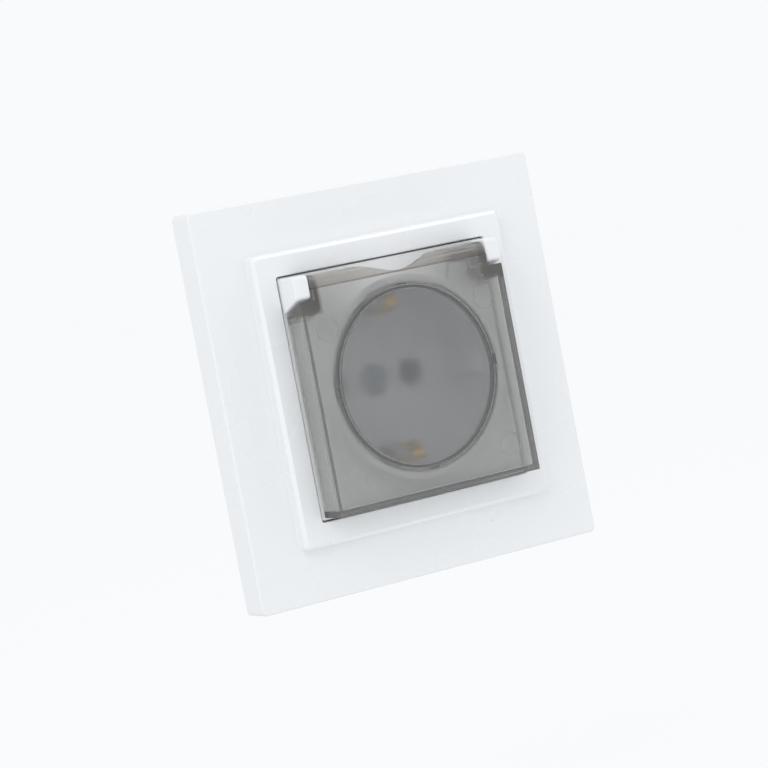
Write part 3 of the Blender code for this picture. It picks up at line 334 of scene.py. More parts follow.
def buildSurfaceGroup():
    # cloudy unevenness, fine grain and sparse dust from Object coordinates in metres
    s = surface
    inlets = {"Cloud Scale": s["cloudScale"], "Grain Scale": s["grainScale"], "Dust Scale": s["dustScale"]}
    group, inside, outside, where = startGroup("mouldedSurface", inlets, ("Cloud", "Grain", "Dust"))
    for name, detail, height in (("Cloud", s["cloudDetail"], 300), ("Grain", s["grainDetail"], 50)):
        noise = add(group, "ShaderNodeTexNoise", -700, height, {"Detail": detail})
        link(group, where, noise.inputs["Vector"])
        link(group, inside[name + " Scale"], noise.inputs["Scale"])
        link(group, noise.outputs["Fac"], outside[name])

    bend = add(group, "ShaderNodeTexNoise", -1000, -450, {"Scale": s["bendScale"]})
    link(group, where, bend.inputs["Vector"])
    mixed = add(group, "ShaderNodeMixRGB", -800, -350, {"Fac": s["bend"]}, blend_type="LINEAR_LIGHT")
    link(group, where, mixed.inputs["Color1"])
    link(group, bend.outputs["Color"], mixed.inputs["Color2"])
    cells = add(group, "ShaderNodeTexVoronoi", -600, -300)
    link(group, mixed.outputs["Color"], cells.inputs["Vector"])
    link(group, inside["Dust Scale"], cells.inputs["Scale"])
    near = ranged(group, cells.outputs["Distance"], 0.0, 1.0, -400, -250, s["dustFrom"], s["dustFull"])
    parts = add(group, "ShaderNodeSeparateColor", -400, -500)
    link(group, cells.outputs["Color"], parts.inputs["Color"])
    few = maths(group, "GREATER_THAN", -200, -450, parts.outputs["Red"], s["dustShare"])
    link(group, maths(group, "MULTIPLY", 0, -300, near, few), outside["Dust"])
    return group


worked = {"stretch": (1.0, 1.0, 0.05), "markScale": 4000.0, "markDetail": 4.0, "tarnishScale": 500.0,
          "tarnishDetail": 5.0, "tarnishRoughness": 0.6, "tarnishFrom": 0.40, "tarnishFull": 0.68}


def buildMetalGroup():
    # drawn or rolled marks along one direction, and blotches of tarnish
    w = worked
    inlets = {"Stretch": w["stretch"], "Mark Scale": w["markScale"], "Tarnish Scale": w["tarnishScale"]}
    group, inside, outside, where = startGroup("workedMetal", inlets, ("Marks", "Tarnish"))
    stretch = add(group, "ShaderNodeVectorMath", -650, 100, operation="MULTIPLY")
    link(group, where, stretch.inputs[0])
    link(group, inside["Stretch"], stretch.inputs[1])
    marks = add(group, "ShaderNodeTexNoise", -400, 150, {"Detail": w["markDetail"]})
    link(group, stretch.outputs["Vector"], marks.inputs["Vector"])
    link(group, inside["Mark Scale"], marks.inputs["Scale"])
    link(group, marks.outputs["Fac"], outside["Marks"])
    blotch = add(group, "ShaderNodeTexNoise", -400, -150,
                 {"Detail": w["tarnishDetail"], "Roughness": w["tarnishRoughness"]})
    link(group, where, blotch.inputs["Vector"])
    link(group, inside["Tarnish Scale"], blotch.inputs["Scale"])
    spread = ranged(group, blotch.outputs["Fac"], 0.0, 1.0, -150, -150, w["tarnishFrom"], w["tarnishFull"])
    link(group, spread, outside["Tarnish"])
    return group


surfaceGroup = buildSurfaceGroup()
metalGroup = buildMetalGroup()


def plastic(name, pale, deep, rough, dust=(0.30, 0.29, 0.28), grainDepth=0.000004, grainScale=2600.0,
            cloudScale=45.0):
    # pale and deep are the two tones that the cloudiness runs between
    material, tree, shader = newTree(name)
    group = add(tree, "ShaderNodeGroup", -900, 0, {"Cloud Scale": cloudScale, "Grain Scale": grainScale},
                node_tree=surfaceGroup)
    colour = blendColours(tree, group.outputs["Cloud"], pale, deep, -450, 200)
    dusty = blendColours(tree, group.outputs["Dust"], colour, dust, -250, 200)
    gloss = ranged(tree, group.outputs["Cloud"], *rough, -450, -50, 0.1, 0.9, "SMOOTHERSTEP")
    bump = relief(tree, group.outputs["Grain"], grainDepth, -300, -300)
    link(tree, dusty, shader.inputs["Base Color"])
    link(tree, gloss, shader.inputs["Roughness"])
    link(tree, bump, shader.inputs["Normal"])
    return material


def metal(name, bright, dull, rough, stretch, markScale, depth=0.000004, inner=None, shadeDepthFrom=None):
    material, tree, shader = newTree(name)
    shader.inputs["Metallic"].default_value = 1.0
    group = add(tree, "ShaderNodeGroup", -900, 0, {"Stretch": stretch, "Mark Scale": markScale},
                node_tree=metalGroup)
    colour = blendColours(tree, group.outputs["Tarnish"], bright, dull, -450, 200)
    if inner:  # painted shade: a duller, greyer tone deeper in, away from the opening
        where = add(tree, "ShaderNodeTexCoord", -900, 500)
        parts = add(tree, "ShaderNodeSeparateXYZ", -700, 500)
        link(tree, where.outputs["Object"], parts.inputs["Vector"])
        deep = ranged(tree, parts.outputs["Y"], 0.0, 1.0, -450, 500, *shadeDepthFrom)
        colour = blendColours(tree, deep, colour, inner, -250, 300)
    gloss = ranged(tree, group.outputs["Marks"], *rough, -450, -50)
    bump = relief(tree, group.outputs["Marks"], depth, -300, -300)
    link(tree, colour, shader.inputs["Base Color"])
    link(tree, gloss, shader.inputs["Roughness"])
    link(tree, bump, shader.inputs["Normal"])
    return material


plastics = {
    "frameWhite": {"pale": (0.868, 0.880, 0.888), "deep": (0.852, 0.866, 0.876), "rough": (0.24, 0.34)},
    "plateWhite": {"pale": (0.850, 0.860, 0.868), "deep": (0.835, 0.846, 0.855), "rough": (0.26, 0.36)},
    "baseGrey": {"pale": (0.50, 0.51, 0.515), "deep": (0.44, 0.45, 0.455), "rough": (0.45, 0.60),
                 "grainDepth": 0.00001, "grainScale": 1600.0},
    "coverGrey": {"pale": (0.46, 0.47, 0.475), "deep": (0.41, 0.42, 0.425), "rough": (0.45, 0.60),
                  "dust": (0.28, 0.27, 0.26), "grainDepth": 0.00001, "grainScale": 1600.0},
}
metals = {
    "ringZinc": {"bright": (0.62, 0.63, 0.65), "dull": (0.50, 0.52, 0.53), "rough": (0.26, 0.42),
                 "stretch": (0.08, 1.0, 1.0), "markScale": 2600.0},
    "screwZinc": {"bright": (0.66, 0.67, 0.68), "dull": (0.52, 0.52, 0.50), "rough": (0.24, 0.38),
                  "stretch": (1.0, 1.0, 1.0), "markScale": 3500.0},
    "clampZinc": {"bright": (0.62, 0.63, 0.64), "dull": (0.50, 0.51, 0.50), "rough": (0.30, 0.45),
                  "stretch": (1.0, 1.0, 1.0), "markScale": 2500.0},
    "rivetSteel": {"bright": (0.60, 0.60, 0.61), "dull": (0.48, 0.48, 0.48), "rough": (0.26, 0.40),
                   "stretch": (1.0, 1.0, 1.0), "markScale": 3000.0},
    "pinSteel": {"bright": (0.60, 0.60, 0.61), "dull": (0.46, 0.46, 0.46), "rough": (0.18, 0.30),
                 "stretch": (0.05, 1.0, 1.0), "markScale": 4000.0},
    "springSteel": {"bright": (0.52, 0.52, 0.53), "dull": (0.36, 0.36, 0.37), "rough": (0.22, 0.36),
                    "stretch": (1.0, 1.0, 1.0), "markScale": 5000.0},
    "bracketBrass": {"bright": (0.86, 0.57, 0.13), "dull": (0.64, 0.41, 0.10), "rough": (0.22, 0.40),
                     "stretch": (1.0, 1.0, 0.06), "markScale": 3200.0,
                     # painted shade: the clips turn greyer and duller deeper in the pot
                     "inner": (0.62, 0.56, 0.47), "shadeDepthFrom": (-0.0060, -0.0025)},
    "seatZinc": {"bright": (0.28, 0.33, 0.35), "dull": (0.22, 0.26, 0.28), "rough": (0.26, 0.40),
                 "stretch": (1.0, 1.0, 1.0), "markScale": 3500.0},
    "contactBrass": {"bright": (0.72, 0.53, 0.24), "dull": (0.52, 0.36, 0.16), "rough": (0.24, 0.42),
                     "stretch": (1.0, 0.06, 1.0), "markScale": 3000.0},
    "bushBrass": {"bright": (0.70, 0.51, 0.22), "dull": (0.50, 0.35, 0.15), "rough": (0.24, 0.40),
                  "stretch": (1.0, 0.06, 1.0), "markScale": 3000.0},
}
materials = {name: plastic(name, **values) for name, values in plastics.items()}
for name, values in metals.items():
    materials[name] = metal(name, **values)

# places are in metres in the row frame, and each pair is the soft edge of a mask
smoke = {
    "pale": (0.90, 0.90, 0.90), "deep": (0.88, 0.88, 0.88), "cloudScale": 60.0, "clear": 0.90, "ior": 1.46,
    # painted shade: inside the collar the lid is tinted darker and bluer, for the deep recess behind it
    "recessShadeTone": (0.86, 0.865, 0.88), "recessShadeRadius": (0.0178, 0.0182),
    # painted shade: the top strip above the crease is tinted darker
    "crestShadeTone": (0.70, 0.675, 0.645), "crestZ": (0.02165, 0.02180),
    # painted shade: the knuckles beside the hinge notches are tinted darker
    "knuckleShadeTone": (0.60, 0.585, 0.555), "knuckleX": (0.01935, 0.01950), "knuckleZ": (0.01625, 0.01665),
    # painted shade: a thin dark brown line along the crease
    "creaseShadeTone": (0.34, 0.26, 0.21), "creaseZ": 0.02172, "creaseWidth": (0.00008, 0.00020),
    # painted shade: the collar below the lid's inner face is tinted nearly black
    "ringShadeTone": (0.035, 0.032, 0.026), "ringRadius": 0.0184, "ringWidth": (0.00075, 0.00085),
    "ringY": (-0.01438, -0.01430),
    "satin": 0.28, "polish": 0.07, "topSatin": 0.30, "faceY": -0.0144, "faceDepth": (0.00008, 0.00012),
    "shadow": (0.62, 0.62, 0.62), "depth": (0.50, 0.49, 0.46), "density": 300.0,
}


def buildLidSmoke():
    # smoke-tinted clear plastic, satin on its inner face, with painted shade over the recess, the crest, the
    # knuckles, the crease and the collar; shadow rays pass straight through, dimmed
    s = smoke
    material, tree, shader = newTree("lidSmoke")
    shader.location = (1100, 0)
    shader.inputs["Transmission Weight"].default_value = s["clear"]
    shader.inputs["IOR"].default_value = s["ior"]
    group = add(tree, "ShaderNodeGroup", -900, 0, {"Cloud Scale": s["cloudScale"]}, node_tree=surfaceGroup)
    where = add(tree, "ShaderNodeTexCoord", -1400, -200).outputs["Object"]
    axes = add(tree, "ShaderNodeSeparateXYZ", -1200, -400)
    link(tree, where, axes.inputs["Vector"])
    across, outward, upward = (axes.outputs[name] for name in "XYZ")
    flat = add(tree, "ShaderNodeVectorMath", -1200, 500, {1: (1.0, 0.0, 1.0)}, operation="MULTIPLY")
    link(tree, where, flat.inputs[0])
    length = add(tree, "ShaderNodeVectorMath", -1000, 500, operation="LENGTH")
    link(tree, flat.outputs["Vector"], length.inputs[0])
    radius = length.outputs["Value"]

    # painted shade: the collar is tinted nearly black
    offRing = offset(tree, radius, s["ringRadius"], -640, 500)
    onRing = ranged(tree, offRing, 1.0, 0.0, -280, 500, *s["ringWidth"])
    behind = ranged(tree, outward, 0.0, 1.0, -280, 750, *s["ringY"])
    ring = maths(tree, "MULTIPLY", -100, 500, onRing, behind)
    # the crest mask paints shade on the top strip and also makes it satin
    crest = ranged(tree, upward, 0.0, 1.0, -280, 1000, *s["crestZ"])
    # painted shade line along the crease
    offCrease = offset(tree, upward, s["creaseZ"], -640, 1250)
    crease = ranged(tree, offCrease, 1.0, 0.0, -280, 1250, *s["creaseWidth"])
    # the knuckle mask paints shade on the knuckles and also makes them satin
    outside = ranged(tree, offset(tree, across, 0.0, -640, 1500), 0.0, 1.0, -280, 1500, *s["knuckleX"])
    above = ranged(tree, upward, 0.0, 1.0, -280, 1750, *s["knuckleZ"])
    knuckle = maths(tree, "MULTIPLY", -100, 1500, outside, above)
    # painted shade over the recess: a darker tint inside the collar's radius
    bowl = ranged(tree, radius, 1.0, 0.0, -280, 2000, *s["recessShadeRadius"])

    tinted = blendColours(tree, group.outputs["Cloud"], s["pale"], s["deep"], -450, 200)
    # the painted shade tones are laid over the smoke tint one after another
    layers = ((bowl, s["recessShadeTone"]), (crest, s["crestShadeTone"]), (knuckle, s["knuckleShadeTone"]),
              (crease, s["creaseShadeTone"]), (ring, s["ringShadeTone"]))
    for step, (mask, tone) in enumerate(layers):
        tinted = blendColours(tree, mask, tinted, tone, 100 + 180 * step, 300)
    link(tree, tinted, shader.inputs["Base Color"])

    offFace = offset(tree, outward, s["faceY"], -640, -400)
    satin = ranged(tree, offFace, s["satin"], s["polish"], -280, -400, *s["faceDepth"])
    onTop = maths(tree, "MAXIMUM", -100, -650, crest, knuckle)
    topSatin = maths(tree, "MULTIPLY", 80, -650, onTop, s["topSatin"])
    link(tree, maths(tree, "MAXIMUM", 260, -500, satin, topSatin), shader.inputs["Roughness"])

    through = add(tree, "ShaderNodeBsdfTransparent", 1150, 250, {"Color": (*s["shadow"], 1.0)})
    path = add(tree, "ShaderNodeLightPath", 1150, 600)
    mix = add(tree, "ShaderNodeMixShader", 1450, 100)
    link(tree, path.outputs["Is Shadow Ray"], mix.inputs["Fac"])
    link(tree, shader.outputs["BSDF"], mix.inputs[1])
    link(tree, through.outputs["BSDF"], mix.inputs[2])
    depth = add(tree, "ShaderNodeVolumeAbsorption", 1450, -150,
                {"Color": (*s["depth"], 1.0), "Density": s["density"]})
    output = tree.nodes["Material Output"]
    output.location = (1700, 0)
    link(tree, mix.outputs["Shader"], output.inputs["Surface"])
    link(tree, depth.outputs["Volume"], output.inputs["Volume"])
    return material


materials["lidSmoke"] = buildLidSmoke()
print("materials made")


# Cover frame

cover = {"half": 41.0, "depth": 6.9, "corner": 1.2, "edge": 0.5, "foot": 0.15, "bezel": 30.0, "bezelTop": 9.5,
         "bezelCorner": 0.9, "chamfer": 0.65, "fillet": 0.3, "opening": 25.15, "openingCorner": 0.6,
         "openingEdge": 0.25, "skin": 1.8, "lipTop": 6.3, "lipFoot": 4.7, "ceiling": 5.1,
         "ribs": (-24.0, 0.0, 24.0), "ribHalf": 0.6, "ribLow": 2.7, "ribEdge": 0.12}


def buildFrame():
    c = cover
    half, top, foot, bezel, cut = c["half"], c["bezelTop"], c["foot"], c["bezel"], c["chamfer"]
    sections = [(half - foot, c["corner"] - foot, 0.0), (half, c["corner"], foot)]
    edge, fillet = c["edge"], c["fillet"]
    for reach, height in arcPoints((half - edge, c["depth"] - edge), edge, 0.0, math.pi / 2, 6):
        sections.append((reach, c["corner"] - (half - reach), height))
    for reach, height in arcPoints((bezel + fillet, c["depth"] + fillet), fillet, -math.pi / 2, -math.pi, 4):
        sections.append((reach, c["bezelCorner"] + reach - bezel, height))
    sections += [  # a chamfer with softened ends
        (bezel - 0.03, 0.87, top - cut - 0.10), (bezel - 0.08, 0.83, top - cut + 0.04),
        (bezel - cut - 0.02, 0.45, top - 0.09), (bezel - cut - 0.16, 0.42, top),
    ]
    inner, corner, lip = c["opening"], c["openingCorner"], c["openingEdge"]
    for reach, height in arcPoints((inner + lip, top - lip), lip, math.pi / 2, math.pi, 4):
        sections.append((reach, corner + reach - inner, height))
    skin, lipTop, lipFoot, ceiling = c["skin"], c["lipTop"], c["lipFoot"], c["ceiling"]
    inside = ((inner, lipTop), (inner - skin, lipTop), (inner - skin, lipFoot), (inner + skin, lipFoot),
              (inner + skin, top - skin), (bezel - skin, top - skin), (bezel - skin, ceiling),
              (half - skin, ceiling), (half - skin, foot))
    sections += [(reach, corner, height) for reach, height in inside]
    sections.append((half - skin + foot, corner + 0.1, 0.0))
    shell = squareBand(sections)
    ribs = []
    wide, low, high = c["ribHalf"], c["ribLow"], ceiling + past
    for along in c["ribs"]:
        for sign in (-1, 1):
            start, end = span(sign, inner + skin - past, half - skin + past)
            ribs.append(slab((along - wide, start, low), (along + wide, end, high), c["ribEdge"], 2))
            ribs.append(slab((start, along - wide, low), (end, along + wide, high), c["ribEdge"], 2))
    carve(shell, "UNION", *ribs)
    return deliver(shell, "coverFrame", "frameWhite", "socket", ["cover_frame"], "frame_white")


buildFrame()
print("cover frame made")


# Centre plate with pot and hinge ears

hinge = {"y": 22.2, "z": 12.5, "bore": 0.9}
plate = {"half": 24.85, "top": 9.0, "foot": 6.6, "wall": 1.8, "corner": 0.6, "edge": 0.25,
         "pot": 21.0, "potEdge": 0.3, "recess": 19.5, "rim": 14.0, "rimEdge": 0.25,
         "floor": -3.5, "floorEdge": 0.5, "under": -5.1,
         "guideHalf": 2.4, "guideDepth": 2.3, "guideEdge": 0.4, "reliefSpread": 25.0, "reliefDepth": 1.4}
ear = {"inner": 21.3, "top": 24.7, "front": 15.4, "under": 20.0, "flare": 3.2, "corner": 0.9, "edge": 0.5,
       "endWall": 0.6, "sink": 1.5}
middleSeat = {"boss": 4.6, "bossDrop": 1.8, "bossTop": -4.3, "head": 3.4, "headFloor": -5.5, "shank": 1.8}
holes = {"bore": 2.8, "boreX": 9.5, "clipHalf": 1.7, "clipNear": 14.1, "clipFar": 17.5, "clipEdge": 0.2}


def earOutline():
    # side view of a hinge ear as (y, z): round front corners and a slanting under side
    e = ear
    foot, front, corner, top = plate["top"] - e["sink"], e["front"], e["corner"], e["top"]
    slant = math.atan2(front - foot, e["flare"])
    lower = e["under"] + corner * math.tan(slant / 2)
    outline = [(top, foot)] + arcPoints((top - corner, front - corner), corner, 0.0, math.pi / 2, 10)
    outline += arcPoints((lower, front - corner), corner, math.pi / 2, math.pi / 2 + slant, 10)
    return outline + [(e["under"] - e["flare"], foot)]


def buildPlate():
    p = plate
    half, top, foot = p["half"], p["top"], p["foot"]
    body = slab((-half, -half, foot), (half, half, top), p["corner"], 6, upright)
    roundEdges(body, p["edge"], 3)
    inside = half - p["wall"]
    carve(body, "DIFFERENCE", slab((-inside, -inside, foot - past), (inside, inside, top - p["wall"]),
                                   p["corner"], 4, upright))
    pot, rim, floor, under, edge = p["pot"], p["rim"], p["floor"], p["under"], p["potEdge"]
    outside = [(0.0, rim), (pot - edge, rim)]
    outside += arcPoints((pot - edge, rim - edge), edge, math.pi / 2, 0.0, 4)[1:]
    outside += [(pot, top + past), (pot, under + edge)]
    outside += arcPoints((pot - edge, under + edge), edge, 0.0, -math.pi / 2, 3)[1:]
    carve(body, "UNION", lathe(outside + [(0.0, under)]))
    bore, mouth, hollow = p["recess"], p["rimEdge"], p["floorEdge"]
    inner = [(0.0, rim + past), (bore + mouth, rim + past), (bore + mouth, rim)]
    inner += arcPoints((bore + mouth, rim - mouth), mouth, math.pi / 2, math.pi, 4)[1:]
    inner += arcPoints((bore - hollow, floor + hollow), hollow, 0.0, -math.pi / 2, 5) + [(0.0, floor)]
    carve(body, "DIFFERENCE", lathe(inner))
    for sign in (-1, 1):
        wide = p["guideHalf"]
        low, high = span(sign, bore - p["guideDepth"], bore + past)
        carve(body, "UNION", slab((low, -wide, floor - past), (high, wide, top), p["guideEdge"], 4))
        block = prism(earOutline(), *span(sign, ear["inner"], half), alongX)
        carve(body, "UNION", roundEdges(block, ear["edge"], 4, 50.0))
        low, high = span(sign, ear["inner"] - past, half - ear["endWall"])
        carve(body, "DIFFERENCE", rodAcross(low, high, hinge["bore"], hinge["y"], hinge["z"]))
    m = middleSeat
    carve(body, "UNION", rods([(0, 0)], m["boss"], under - m["bossDrop"], m["bossTop"], 64))
    carve(body, "DIFFERENCE", rods([(0, 0)], m["head"], m["headFloor"], floor + past, 64))
    carve(body, "DIFFERENCE", rods([(0, 0)], m["shank"], under - m["bossDrop"] - 1.0, floor + past, 40))
    bore, clip = holes["bore"], holes["clipHalf"]
    for sign in (-1, 1):  # a pin hole with a flared mouth, and the opening for an earth clip
        hole = [(0.0, floor + 0.6), (bore + 1.25, floor + 0.6), (bore + 0.65, floor),
                (bore + 0.1, floor - 0.5), (bore, floor - 0.7), (bore, under - 0.7), (0.0, under - 0.7)]
        carve(body, "DIFFERENCE", lathe(hole, 56, Matrix.Translation((sign * holes["boreX"], 0, 0))))
        low, high = span(sign, holes["clipNear"], holes["clipFar"])
        carve(body, "DIFFERENCE", slab((-clip, low, under - past), (clip, high, floor + past),
                                       holes["clipEdge"], 2, upright))
    spread = math.radians(p["reliefSpread"])
    relieved = arcPoints((0, 0), pot + 0.4, math.pi / 2 - spread, math.pi / 2 + spread, 30)
    relieved += arcPoints((0, 0), p["recess"] - 0.4, math.pi / 2 + spread, math.pi / 2 - spread, 30)
    carve(body, "DIFFERENCE", prism(relieved, rim - p["reliefDepth"], rim + 0.4))
    tidyMesh(body)
    return deliver(body, "centrePlate", "plateWhite", "socket", ["centre_plate"], "plate_white")


buildPlate()
print("centre plate made")


# Lid

lid = {"half": 24.35, "inside": 14.4, "top": 15.8, "foot": 9.3,
       "wall": 1.2, "rightWall": 1.0, "topWall": 23.75,
       "notchX": 20.9, "notchY": 16.8, "notchLean": 2.4, "notchEdge": 0.4, "shoulder": 1.4, "knuckleX": 19.5,
       "frontEdge": 0.75, "edge": 0.38, "creaseY": 21.8, "creaseDrop": 2.4, "creaseLip": 0.25,
       "waveHalf": 10.6, "waveDepth": 2.4}
lidInner = {"edge": 0.25, "fineEdge": 0.1, "slopeY": 22.9, "hollowZ": 13.95, "topSkin": 0.5,
            "legBore": 0.5, "legY": 19.4, "legZ": 13.7, "markOut": 2.5, "markIn": 2.36,
            "marks": ((-18.9, 13.0), (18.9, 13.0), (-18.9, -18.0), (18.9, -18.0))}
collar = {"radius": 18.85, "wall": 0.95, "foot": 13.0, "tabHalf": 1.1, "tabReach": 0.3}


def lidOutline():
    # side view of the lid as (y, z): a round heel about the hinge and a hollow above the crease
    half, top, foot = lid["half"], lid["top"], lid["foot"]
    crease, drop, lip = lid["creaseY"], lid["creaseDrop"], lid["creaseLip"]
    heel = hinge["z"] - foot
    heelEnd = math.acos((half - hinge["y"]) / heel)
    outline = [(-half, top), (-half, foot)]
    outline += arcPoints((hinge["y"], hinge["z"]), heel, -math.pi / 2, -heelEnd, 14)
    for step in range(17):
        angle = math.pi / 2 * step / 16
        outline.append((crease + (half - crease) * math.cos(angle),
                        top - lip - (drop - lip) * (1 - math.sin(angle))))
    return outline + [(crease, top - lip), (crease - 0.05, top)]


def buildLid():
    s, n = lid, lidInner
    half, top, foot = s["half"], s["top"], s["foot"]
    shell = prism(lidOutline(), -half, half, alongX)
    room = 2.0  # cutters run this far past the lid
    far, below, above = half + room, foot - room, top + room
    slope = s["notchLean"] / (top - foot)  # the notches lean with the under sides of the ears
    notch = s["notchY"]
    lean = [(notch - slope * room, below), (far, below), (far, above),
            (notch + slope * (above - foot), above)]
    for sign in (-1, 1):
        corner = prism(lean, *span(sign, s["notchX"], far), alongX)
        carve(shell, "DIFFERENCE", roundEdges(corner, s["notchEdge"], 4, 50.0))
    tidyMesh(shell)

    def share(edge):
        # the front's outer edges are rounder than the rest
        spots = [v.co for v in edge.verts]
        onFront = all(p.z > top - 0.01 for p in spots)
        onSide = all(abs(p.x) > half - 0.01 for p in spots) or all(p.y < 0.01 - half for p in spots)
        return 1.0 if onFront and onSide else s["edge"] / s["frontEdge"]

    roundWeighted(shell, s["frontEdge"], 5, share)
    reach, depth = s["waveHalf"], s["waveDepth"]  # the finger wave
    wave = [(-reach + reach * i / 24, half - depth * (0.5 - 0.5 * math.cos(math.pi * i / 24)))
            for i in range(49)]
    carve(shell, "DIFFERENCE", prism(wave + [(reach, far), (-reach, far)], below, above))

    inner, roof, narrow = half - s["wall"], s["inside"], s["knuckleX"]
    under = notch - s["shoulder"] * math.sqrt(1.0 + slope * slope)
    hollow = [(-inner, below), (under - slope * room, below),
              (under + slope * (roof - foot), roof), (-inner, roof)]
    bowl = prism(hollow, -inner, half - s["rightWall"], alongX)
    carve(shell, "DIFFERENCE", roundEdges(bowl, n["edge"], 3, 60.0))
    between = slab((-narrow, 0.0, below), (narrow, n["slopeY"], roof))  # between the knuckles
    carve(shell, "DIFFERENCE", roundEdges(between, n["edge"], 3, 60.0),
          slab((-narrow, 0.0, below), (narrow, s["topWall"], n["hollowZ"]), n["fineEdge"], 2),
          slab((-narrow, 0.0, below), (narrow, far, top - s["creaseDrop"] - n["topSkin"]), n["fineEdge"], 2))
    addCollar(shell)
    for sign in (-1, 1):
        low, high = span(sign, narrow - past, s["notchX"] + past)
        carve(shell, "DIFFERENCE", rodAcross(low, high, hinge["bore"], hinge["y"], hinge["z"]))
    low, high = span(1, narrow - past, s["notchX"] + past)  # for the leg of the spring
    carve(shell, "DIFFERENCE", rodAcross(low, high, n["legBore"], n["legY"], n["legZ"], 24))
    out, edge = n["markOut"], n["markIn"]
    for x, y in n["marks"]:  # rings left by the ejector pins
        ring = [(out, roof - past), (out, roof + 0.1), (edge, roof + 0.1), (edge, roof - past)]
        carve(shell, "DIFFERENCE", lathe(ring, 48, Matrix.Translation((x, y, 0))))
    tidyMesh(shell)
    return deliver(shell, "lidShell", "lidSmoke", "lid", ["lid"], "lid_smoke")


def addCollar(shell):
    # a round wall with a round foot and four small tabs outside it
    c = collar
    radius, wall, low, roof = c["radius"], c["wall"], c["foot"], lid["inside"] + past
    ring = [(radius, roof)] + arcPoints((radius - wall / 2, low + wall / 2), wall / 2, 0.0, -math.pi, 8)
    carve(shell, "UNION", lathe(ring + [(radius - wall, roof)], 128))
    wide, near, out, floor = c["tabHalf"], radius - past, radius + c["tabReach"], low + 0.3
    carve(shell, "UNION", slab((near, -wide, floor), (out, wide, roof)),
          slab((-out, -wide, floor), (-near, wide, roof)),
          slab((-wide, near, floor), (wide, out, roof)), slab((-wide, -out, floor), (wide, -near, roof)))


buildLid()
print("lid made")


# Metal pieces seen through the lid

hingePin = {"end": 23.95, "radius": 0.6, "tip": 0.2, "head": 1.1, "headEdge": 0.15, "headWidth": 0.4,
            "left": 18.9, "right": 13.24}


def buildPin(name, sign, inner, node):
    p = hingePin
    length, head, edge, wide = p["end"] - inner, p["head"], p["headEdge"], p["headWidth"]
    profile = [(0.0, 0.0)] + arcPoints((head - edge, -edge), edge, math.pi / 2, 0.0, 3)
    profile += [(head, -wide), (p["radius"], -wide), (p["radius"], -length + p["tip"]),
                (p["radius"] - p["tip"], -length), (0.0, -length)]
    turn = Matrix.Rotation(-sign * math.pi / 2, 4, "Y")
    item = lathe(profile, 40, Matrix.Translation((sign * inner, hinge["y"], hinge["z"])) @ turn)
    return deliver(item, name, "pinSteel", "socket", [node], "pin_steel")


buildPin("hingePinLeft", -1, hingePin["left"], "hinge_pin_left")
buildPin("hingePinRight", 1, hingePin["right"], "hinge_pin_right")

spring = {"radius": 1.1, "wire": 0.2, "turns": 6, "outer": 17.5, "pitch": 0.56, "leg": 4.6, "legFoot": 9.5,
          "reach": 20.5, "steps": 20}


def springPath():
    # from the leg on the plate through the coil to the leg in the lid
    s = spring
    y, z, radius, outer, steps = hinge["y"], hinge["z"], s["radius"], s["outer"], s["steps"]
    inner, foot = outer - s["turns"] * s["pitch"], s["legFoot"]
    drop = z - radius - foot
    run = math.sqrt(s["leg"] ** 2 - drop ** 2)
    points = [(inner, y - run, foot), (inner, y - run * 0.5, foot + drop * 0.5)]
    total = s["turns"] * steps
    for step in range(total + steps // 2 + 1):
        angle = -math.pi / 2 + math.tau * step / steps
        along = inner + (outer - inner) * min(step, total) / total
        points.append((along, y + radius * math.cos(angle), z + radius * math.sin(angle)))
    legY, legZ = lidInner["legY"], lidInner["legZ"]
    points += [(outer, legY + 0.6, legZ), (outer + 0.15, legY + 0.1, legZ), (outer + 0.5, legY, legZ),
               (s["reach"], legY, legZ)]
    return points, inner, outer


def buildSpring():
    points, inner, outer = springPath()
    curve = bpy.data.curves.new("lidSpring", "CURVE")
    curve.dimensions = "3D"
    curve.bevel_depth = spring["wire"] * 0.001
    curve.bevel_resolution = 4
    curve.use_fill_caps = True
    line = curve.splines.new("POLY")
    line.points.add(len(points) - 1)
    for point, place in zip(line.points, points):
        point.co = (*(toRow @ Vector(place)), 1.0)
    wire = bpy.data.objects.new("wire", curve)
    bpy.context.scene.collection.objects.link(wire)
    mesh = bpy.data.meshes.new_from_object(wire.evaluated_get(bpy.context.evaluated_depsgraph_get()))
    bpy.data.objects.remove(wire)
    bm = bmesh.new()
    bm.from_mesh(mesh)
    bmesh.ops.remove_doubles(bm, verts=bm.verts, dist=0.0000005)
    item = fresh("lidSpring", bm)
    dress(item, "springSteel", None, ["lid_spring"], "spring_steel", weighted=False)
    # one leg of the coil rests by the plate and the other in the lid; the ends of the coil's axis are worked
    # out here but not used
    start, end = (toRow @ Vector((x, hinge["y"], hinge["z"])) for x in (inner, outer))
    tuple(start)
    tuple(end)
    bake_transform(item)
    return item


buildSpring()

bracket = {"width": 5.5, "clipWidth": 2.8, "strip": 0.8, "top": -8.0, "riser": 16.8, "bend": 1.0,
           "fold": 0.85, "foldTop": 9.35, "contact": 13.7, "bulge": 0.92, "drop": 0.78, "ease": 1.5,
           "floor": -3.5, "clipNear": 12.0, "clipFar": 19.0, "clipHigh": 12.0, "clipCorner": 0.3,
           "edge": 0.15, "bore": 1.8, "screwY": 11.0}


